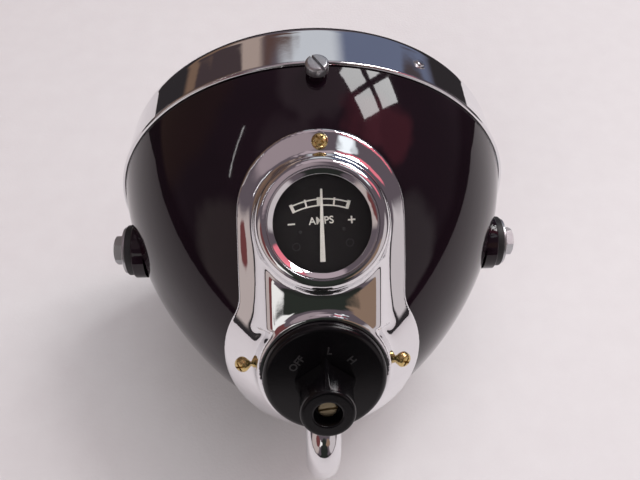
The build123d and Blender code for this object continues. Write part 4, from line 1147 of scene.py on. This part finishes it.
class LAMP_OT_ammeter(bpy.types.Operator):
    """Build the ammeter's bezel and needle"""

    bl_idname = "lamp.ammeter"
    bl_label = "Ammeter"

    def execute(self, context):
        ammeter = context.scene.lamp_ammeter
        place = bowl_place(context.scene.lamp_bowl, ammeter.angle, ammeter.proud)
        low = -ammeter.bezel_depth
        top = -ammeter.bezel_step
        lip = ammeter.bezel_radius - ammeter.bezel_lip
        edge = ammeter.bezel_lip / 2
        outline = rounded([(ammeter.window, low), (ammeter.bezel_radius, low),
                           (ammeter.bezel_radius, top, edge), (lip, top, edge),
                           (ammeter.window, top - ammeter.bezel_slope, edge)])
        bezel = turned("ammeter_bezel_ring", place, outline, COLLAR_STEPS)
        hand_over(bezel, "chrome", ["ammeter_bezel"])

        tail = -ammeter.needle_drop - ammeter.needle_tail
        tip = ammeter.needle_reach - ammeter.needle_drop
        outline = [(-ammeter.needle_root / 2, tail), (ammeter.needle_root / 2, tail),
                   (ammeter.needle_tip / 2, tip), (-ammeter.needle_tip / 2, tip)]
        needle = prism("ammeter_needle_blade", place, outline, ammeter.needle_back,
                       ammeter.needle_back + ammeter.needle_height)
        apply_modifier(needle, "BEVEL", width=ammeter.needle_height / 4, segments=2)
        hand_over(needle, "needle_white", ["ammeter_needle"], "needle")
        return {"FINISHED"}


class LAMP_OT_dial_print(bpy.types.Operator):
    """Build the printed scale, letters and signs on the dial, and the small screws that hold it"""

    bl_idname = "lamp.dial_print"
    bl_label = "Dial Print"

    def execute(self, context):
        ammeter = context.scene.lamp_ammeter
        face = bowl_place(context.scene.lamp_bowl, ammeter.angle, ammeter.proud)
        face = face @ Matrix.Translation((ammeter.print_shift, 0, ammeter.dial_height))
        place = face @ Matrix.Rotation(ammeter.print_turn, 4, "Z")
        thick = ammeter.print_height
        centre = (0.0, ammeter.scale_top - ammeter.scale_radius)
        first = QUARTER_TURN + ammeter.scale_half
        last = QUARTER_TURN - ammeter.scale_half
        parts = []
        for outer in (ammeter.scale_radius, ammeter.scale_radius - ammeter.scale_width + ammeter.scale_line):
            line = arc(centre, outer, first, last, SCALE_ARC_STEPS)
            line += arc(centre, outer - ammeter.scale_line, last, first, SCALE_ARC_STEPS)
            parts.append(prism("line", place, line, 0.0, thick))
        widths = (ammeter.bar_end, ammeter.bar_thin, ammeter.bar_middle, ammeter.bar_thin, ammeter.bar_end)
        for index, width in enumerate(widths):
            turn = ammeter.scale_half * (1 - 2 * index / (len(widths) - 1))
            low = ammeter.scale_radius - ammeter.scale_width
            high = ammeter.scale_radius + ammeter.bar_over
            mark = [(-width / 2, low), (width / 2, low), (width / 2, high), (-width / 2, high)]
            spot = place @ Matrix.Translation((*centre, 0)) @ Matrix.Rotation(turn, 4, "Z")
            parts.append(prism("mark", spot, mark, 0.0, thick * ammeter.bar_lift))
        words = place @ Matrix.Translation((0, ammeter.letter_y, thick / 2))
        parts.append(lettering("word", "AMPS", ammeter.letter_height, thick, words, ammeter.letter_bold))
        dash = rectangle(ammeter.sign_width / 2, ammeter.sign_line / 2)
        for x, dashes in ((ammeter.sign_left, 1), (ammeter.sign_right, 2)):
            sign = place @ Matrix.Translation((x, ammeter.sign_y, 0))
            for index in range(dashes):
                spot = sign @ Matrix.Rotation(index * QUARTER_TURN, 4, "Z")
                parts.append(prism("sign", spot, dash, 0.0, thick * (1 + index / 2)))
        marks = join(parts)
        marks.name = "dial_print"
        hand_over(marks, "needle_white", [])

        parts = []
        ring = rounded([(ammeter.dial_screw_bore, 0.0), (ammeter.dial_screw_radius, 0.0),
                        (ammeter.dial_screw_radius, ammeter.dial_screw_height, ammeter.dial_screw_height / 3),
                        (ammeter.dial_screw_bore, ammeter.dial_screw_height, ammeter.dial_screw_height / 3)])
        pip = rounded([(0.0, 0.0), (ammeter.pip_radius, 0.0),
                       (ammeter.pip_radius, ammeter.pip_height, ammeter.pip_height / 2),
                       (0.0, ammeter.pip_height)])
        for side in (-1, 1):
            spot = place @ Matrix.Translation((side * ammeter.dial_screw_x, ammeter.dial_screw_y, 0))
            parts.append(turned("dial_screw", spot, ring, RIVET_STEPS))
            spot = place @ Matrix.Translation((side * ammeter.pip_x, ammeter.pip_y, 0))
            parts.append(turned("pip", spot, pip, PIP_STEPS))
        screws = join(parts)
        screws.name = "dial_screws"
        hand_over(screws, "black_washer", [])
        return {"FINISHED"}


class LAMP_OT_switch_cover(bpy.types.Operator):
    """Build the switch cover with its raised letters"""

    bl_idname = "lamp.switch_cover"
    bl_label = "Switch Cover"

    def execute(self, context):
        switch = context.scene.lamp_switch
        place = axis_place(switch.face_y, switch.face_z, switch.angle)
        inner = switch.cover_radius - switch.cover_skirt
        outline = rounded([(switch.cover_bore, 0.0), (switch.cover_bore, -switch.cover_wall),
                           (inner, -switch.cover_wall), (inner, -switch.cover_depth),
                           (switch.cover_radius, -switch.cover_depth),
                           (switch.cover_radius, 0.0, switch.cover_round)])
        cover = turned("switch_cover_cap", place, outline, COVER_STEPS)
        hand_over(cover, "black_moulding", ["switch_cover"])

        words = []
        relief = switch.letter_relief
        for word, turn in (("OFF", switch.letter_off), ("L", switch.letter_low), ("H", switch.letter_high)):
            spot = place @ Matrix.Rotation(turn, 4, "Z")
            spot = spot @ Matrix.Translation((0, switch.letter_radius, relief / 2))
            words.append(lettering("switch_cover_letters", word, switch.letter_height, relief, spot,
                                   bevel=switch.letter_bevel))
        hand_over(join(words), "black_washer", [])
        return {"FINISHED"}


class LAMP_OT_switch_knob(bpy.types.Operator):
    """Build the switch knob with its pointer, and the slotted screw in its recess"""

    bl_idname = "lamp.switch_knob"
    bl_label = "Switch Knob"

    def execute(self, context):
        switch = context.scene.lamp_switch
        place = axis_place(switch.face_y, switch.face_z, switch.angle)
        foot = switch.knob_foot
        top = foot + switch.knob_height
        floor = top - switch.recess_depth
        web = floor - switch.web
        body = rounded([(0.0, foot), (switch.knob_skirt, foot),
                        (switch.knob_radius, foot + switch.knob_skirt_height, switch.knob_waist_round),
                        (switch.knob_radius, top, switch.knob_round),
                        (switch.recess_radius, top, switch.recess_round), (switch.recess_radius, floor),
                        (0.0, floor)])
        knob = turned("switch_knob_body", place, body, KNOB_STEPS)
        flank = rectangle(switch.knob_skirt, switch.knob_height)
        for side in (-1, 1):
            spot = place @ Matrix.Translation((0, 0, foot))
            spot = spot @ Matrix.Rotation(-side * switch.flank_angle, 4, "Z")
            spot = spot @ Matrix.Translation((0, switch.flank_distance, 0))
            spot = spot @ Matrix.Rotation(-QUARTER_TURN - switch.flank_lean, 4, "X")
            combine(knob, prism("flank", spot, flank, 0.0, switch.knob_skirt), "DIFFERENCE")
        half_root = switch.pointer_root / 2
        half_tip = switch.pointer_tip / 2
        start = switch.knob_radius - half_root
        plan = [(-half_root, start), (half_root, start), (half_tip, switch.pointer_reach),
                (-half_tip, switch.pointer_reach)]
        pointer = prism("pointer", place, plan, foot, top)
        turn = place.to_3x3()
        cross = place_at(place.translation, turn @ Vector((0, 1, 0)), turn @ Vector((1, 0, 0)))
        slope = [(0.0, foot), (switch.pointer_reach, foot),
                 (switch.pointer_reach, foot + switch.pointer_tip_height),
                 (switch.knob_radius, top - switch.knob_round), (0.0, top - switch.knob_round)]
        combine(pointer, prism("slope", cross, slope, -switch.pointer_root, switch.pointer_root), "INTERSECT")
        join([knob, pointer])
        soften(knob, switch.voxel, switch.smooth_rounds)
        bore = [(0.0, -foot), (switch.cover_bore, -foot), (switch.cover_bore, web), (switch.screw_shank, web),
                (switch.screw_shank, floor + foot), (0.0, floor + foot)]
        combine(knob, turned("bore", place, bore, SHAFT_STEPS), "DIFFERENCE")
        hand_over(knob, "black_moulding", ["switch_knob"], "switch")

        head = floor + switch.screw_height
        end = floor - switch.screw_length
        outline = rounded([(0.0, end), (switch.screw_shank, end),
                           (switch.screw_shank, floor), (switch.screw_radius, floor),
                           (switch.screw_radius, head, switch.screw_round), (0.0, head)])
        screw = turned("switch_knob_screw_turned", place, outline, SCREW_STEPS)
        slot = rectangle(2 * switch.screw_radius, switch.screw_slot / 2)
        slot_place = place @ Matrix.Rotation(switch.screw_slot_turn, 4, "Z")
        slot_floor = head - switch.screw_slot_depth
        combine(screw, prism("slot", slot_place, slot, slot_floor, 2 * head), "DIFFERENCE")
        hand_over(screw, "brass", ["switch_knob_screw"], "switch")
        return {"FINISHED"}


class LAMP_OT_side_fixings(bpy.types.Operator):
    """Build the spacer, washer and hexagon bolt on each side"""

    bl_idname = "lamp.side_fixings"
    bl_label = "Side Fixings"

    def execute(self, context):
        side = context.scene.lamp_side
        bore = side.bolt_radius + side.fit
        washer_low = side.spacer_thickness
        head_low = washer_low + side.washer_thickness
        head_top = head_low + side.bolt_head
        corner = side.bolt_flats / math.sqrt(3)
        for name, seat in side_places(context.scene.lamp_bowl).items():
            ring = rounded([(bore, 0.0), (side.spacer_radius, 0.0, side.spacer_round),
                            (side.spacer_radius, washer_low, side.spacer_round), (bore, washer_low)])
            spacer = turned(f"side_spacer_{name}_ring", seat, ring, WASHER_STEPS)
            hand_over(spacer, "black_washer", [f"side_spacer_{name}"])
            ring = rounded([(bore, washer_low), (side.washer_radius, washer_low, side.washer_round),
                            (side.washer_radius, head_low, side.washer_round), (bore, head_low)])
            washer = turned(f"side_washer_{name}_ring", seat, ring, WASHER_STEPS)
            hand_over(washer, "zinc", [f"side_washer_{name}"])
            last_corner = side.bolt_turn + FULL_TURN * (HEXAGON - 1) / HEXAGON
            hexagon = arc((0, 0), corner, side.bolt_turn, last_corner, HEXAGON - 1)
            head = prism(f"side_bolt_{name}_hex", seat, hexagon, head_low, head_top)
            cone = [(0.0, 0.0), (corner + side.bolt_head / 2, 0.0),
                    (corner + side.bolt_head / 2, head_top - side.bolt_chamfer - side.bolt_head / 4),
                    (corner, head_top - side.bolt_chamfer),
                    (corner - 2 * side.bolt_chamfer, head_top), (0.0, head_top)]
            combine(head, turned("cone", seat, cone, WASHER_STEPS), "INTERSECT")
            dish = [(0.0, head_top - side.bolt_dish), (side.bolt_dish_radius, head_top - side.bolt_dish),
                    (side.bolt_dish_radius + side.bolt_dish, head_top + side.fit), (0.0, head_top + side.fit)]
            combine(head, turned("dish", seat, dish, SCREW_STEPS), "DIFFERENCE")
            end = head_low - side.bolt_length
            combine(head, bar("shank", seat, side.bolt_radius, end, head_low + side.fit), "UNION")
            hand_over(head, "zinc", [f"side_bolt_{name}"])
        return {"FINISHED"}


class LAMP_OT_carried(bpy.types.Operator):
    """Give the CAD nodes that are shown as they are their finishes"""

    bl_idname = "lamp.carried"
    bl_label = "Inner Pieces"

    def execute(self, context):
        for slot, names in CARRIED.items():
            for name in names:
                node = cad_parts[name]
                node.data.materials.clear()
                node.data.materials.append(finish_of(slot))
        return {"FINISHED"}


# Light of the room by direction: way, cosine where the patch ends, cosine where it is full, colour
ROOM = (
    ((0.0, 0.0, 1.0), -0.05, 0.10, (0.12, 0.095, 0.11)),
    ((-0.80, -0.55, 0.25), 0.88, 0.94, (0.50, 0.42, 0.40)),
    ((0.80, -0.55, 0.25), 0.88, 0.94, (0.60, 0.54, 0.55)),
    ((-0.75, 0.62, 0.18), 0.80, 0.90, (0.19, 0.12, 0.085)),
    ((-0.25, -0.18, 0.95), 0.930, 0.970, (0.34, 0.27, 0.29)),
    ((0.0, 0.36, 0.93), 0.940, 0.975, (0.46, 0.37, 0.40)),
    ((0.06, 0.85, 0.50), 0.950, 0.978, (0.60, 0.62, 0.66)),
    ((0.50, 0.80, 0.33), 0.920, 0.965, (0.14, 0.16, 0.24)),
    ((-0.20, 0.88, 0.42), 0.988, 0.994, (0.10, 0.055, 0.045)),
    ((-0.40, 0.85, 0.34), 0.982, 0.992, (0.40, 0.31, 0.27)),
    ((-0.60, 0.76, 0.24), 0.984, 0.992, (0.06, 0.042, 0.045)),
    ((0.66, 0.72, 0.22), 0.982, 0.992, (0.07, 0.055, 0.060)),
    ((0.34, -0.16, 0.935), 0.986, 0.992, (1.10, 1.16, 1.20)),
    ((0.42, 0.13, 0.90), 0.978, 0.998, (0.85, 0.20, 0.26)),
    ((0.56, 0.14, 0.82), 0.978, 0.998, (1.15, 0.28, 0.36)),
    ((0.70, 0.14, 0.70), 0.978, 0.998, (0.90, 0.22, 0.28)),
    ((0.00, -1.00, -0.05), 0.930, 0.955, (0.022, 0.024, 0.021)),
    ((0.02, -0.93, 0.36), 0.930, 0.955, (0.022, 0.024, 0.021)),
    ((0.03, -0.78, 0.62), 0.955, 0.975, (0.026, 0.030, 0.025)),
    ((-0.34, -0.75, 0.57), 0.988, 0.994, (0.95, 0.93, 0.90)),
    ((-0.60, -0.60, 0.52), 0.968, 0.980, (0.16, 0.05, 0.05)),
    ((0.40, -0.72, 0.56), 0.972, 0.984, (0.27, 0.18, 0.13)),
    ((0.0, 0.0, -1.0), 0.0, 0.06, (0.030, 0.026, 0.028)),
)
ROOM_BASE = (0.030, 0.026, 0.028)


def room_world(stage):
    """World whose colour depends on the direction: the room's patches, laid over each other in order."""
    world = bpy.data.worlds.new("room")
    world.use_nodes = True
    nodes = world.node_tree.nodes
    links = world.node_tree.links
    place = nodes.new("ShaderNodeTexCoord")
    noise = nodes.new("ShaderNodeTexNoise")
    noise.inputs["Scale"].default_value = stage.room_detail
    shift = nodes.new("ShaderNodeVectorMath")
    shift.operation = "MULTIPLY_ADD"
    shift.inputs[1].default_value = [stage.room_wobble] * 3
    shift.inputs[2].default_value = [-stage.room_wobble / 2] * 3
    bearing = nodes.new("ShaderNodeVectorMath")
    bearing.operation = "ADD"
    links.new(place.outputs["Generated"], noise.inputs["Vector"])
    links.new(noise.outputs["Color"], shift.inputs[0])
    links.new(shift.outputs[0], bearing.inputs[0])
    links.new(place.outputs["Generated"], bearing.inputs[1])
    base = nodes.new("ShaderNodeRGB")
    base.outputs[0].default_value = (*ROOM_BASE, 1.0)
    last = base.outputs[0]
    for way, edge, full, shade in ROOM:
        dot = nodes.new("ShaderNodeVectorMath")
        dot.operation = "DOT_PRODUCT"
        dot.inputs[1].default_value = Vector(way).normalized()
        blend = nodes.new("ShaderNodeMapRange")
        blend.interpolation_type = "SMOOTHSTEP"
        blend.inputs["From Min"].default_value = edge
        blend.inputs["From Max"].default_value = full
        mix = nodes.new("ShaderNodeMix")
        mix.data_type = "RGBA"
        mix.inputs["B"].default_value = (*shade, 1.0)
        links.new(bearing.outputs[0], dot.inputs[0])
        links.new(dot.outputs["Value"], blend.inputs["Value"])
        links.new(blend.outputs["Result"], mix.inputs["Factor"])
        links.new(last, mix.inputs["A"])
        last = mix.outputs["Result"]
    links.new(last, nodes["Background"].inputs["Color"])
    return world


def area_light(name, place, turn, power, width, height=None):
    """Area light that shines along its turned -Z; a height makes it a rectangle."""
    bpy.ops.object.light_add(type="AREA", location=place)
    light = bpy.context.object
    light.name = name
    light.data.energy = power
    light.data.size = width
    if height:
        light.data.shape = "RECTANGLE"
        light.data.size_y = height
    light.rotation_euler = turn.to_euler()
    return light


class LAMP_OT_stage(bpy.types.Operator):
    """Build the floor, the light and the camera"""

    bl_idname = "lamp.stage"
    bl_label = "Stage"

    def execute(self, context):
        scene = context.scene
        stage = scene.lamp_stage
        bpy.ops.object.select_all(action="DESELECT")
        middle = (0, stage.floor_far - stage.floor_half, stage.floor_z)
        bpy.ops.mesh.primitive_plane_add(size=2 * stage.floor_half, location=middle)
        floor = context.object
        floor.name = "floor"
        bpy.ops.object.transform_apply(location=True, rotation=True, scale=True)
        floor.data.materials.append(finish_of("floor"))

        scene.world = room_world(stage)
        lights = (("key_light", Vector(stage.key_place), stage.key_power, stage.key_size),
                  ("fill_light", Vector(stage.fill_place), stage.fill_power, stage.fill_size))
        for name, spot, power, width in lights:
            light = area_light(name, spot, (-spot).to_track_quat("-Z", "Y"), power, width)
            light.visible_glossy = False

        window = Vector(stage.window_place)
        facing = (-window).to_track_quat("-Z", "Y").to_matrix()
        for column in (-1, 1):
            for row in (-1, 1):
                shift = Vector((column * (stage.pane_width + stage.pane_gap) / 2,
                                row * (stage.pane_height + stage.pane_gap) / 2, 0))
                area_light(f"window_pane_{column}_{row}", window + facing @ shift, facing,
                           stage.pane_power, stage.pane_width, stage.pane_height)

        upper = Vector(stage.strip_upper)
        lower = Vector(stage.strip_lower)
        middle = (upper + lower) / 2
        away = middle.normalized()
        along = (upper - lower).normalized()
        across = along.cross(away).normalized()
        turn = Matrix((across, away.cross(across), away)).transposed()
        area_light("strip_light", middle, turn, stage.strip_power, stage.strip_width, (upper - lower).length)

        camera = bpy.data.cameras.new("camera")
        camera.lens = stage.camera_lens
        camera.sensor_width = stage.camera_sensor
        camera.clip_start = stage.camera_near
        viewer = bpy.data.objects.new("camera", camera)
        scene.collection.objects.link(viewer)
        turn = Matrix((stage.camera_right, stage.camera_up, stage.camera_back)).transposed().to_4x4()
        viewer.matrix_world = Matrix.Translation(stage.camera_place) @ turn
        scene.camera = viewer
        scene.view_settings.view_transform = "Standard"
        return {"FINISHED"}


class LAMP_PT_sidebar(bpy.types.Panel):
    """Sidebar panel that lists the lamp's pieces"""

    bl_idname = "LAMP_PT_sidebar"
    bl_label = "Round Motorcycle Headlight"
    bl_space_type = "VIEW_3D"
    bl_region_type = "UI"
    bl_category = "Headlight"

    def draw(self, context):
        for operator in OPERATORS:
            self.layout.operator(operator.bl_idname)


OPERATORS = (
    LAMP_OT_shell, LAMP_OT_rim, LAMP_OT_rim_screw, LAMP_OT_front, LAMP_OT_panel, LAMP_OT_panel_screws,
    LAMP_OT_ammeter, LAMP_OT_dial_print, LAMP_OT_switch_cover, LAMP_OT_switch_knob, LAMP_OT_side_fixings,
    LAMP_OT_carried, LAMP_OT_stage,
)
GROUPS = {
    "lamp_bowl": BowlSizes, "lamp_rim": RimSizes, "lamp_panel": PanelSizes, "lamp_ammeter": AmmeterSizes,
    "lamp_switch": SwitchSizes, "lamp_side": SideSizes, "lamp_colours": FinishColours,
    "lamp_stage": StageSettings,
}


def register():
    for group in GROUPS.values():
        bpy.utils.register_class(group)
    for name, group in GROUPS.items():
        setattr(bpy.types.Scene, name, PointerProperty(type=group))
    for kind in (*OPERATORS, LAMP_PT_sidebar):
        bpy.utils.register_class(kind)


def unregister():
    for kind in (LAMP_PT_sidebar, *reversed(OPERATORS)):
        bpy.utils.unregister_class(kind)
    for name in GROUPS:
        delattr(bpy.types.Scene, name)
    for group in reversed(list(GROUPS.values())):
        bpy.utils.unregister_class(group)


def main():
    register()
    for operator in OPERATORS:
        family, name = operator.bl_idname.split(".")
        getattr(getattr(bpy.ops, family), name)()


if __name__ == "__main__":
    main()
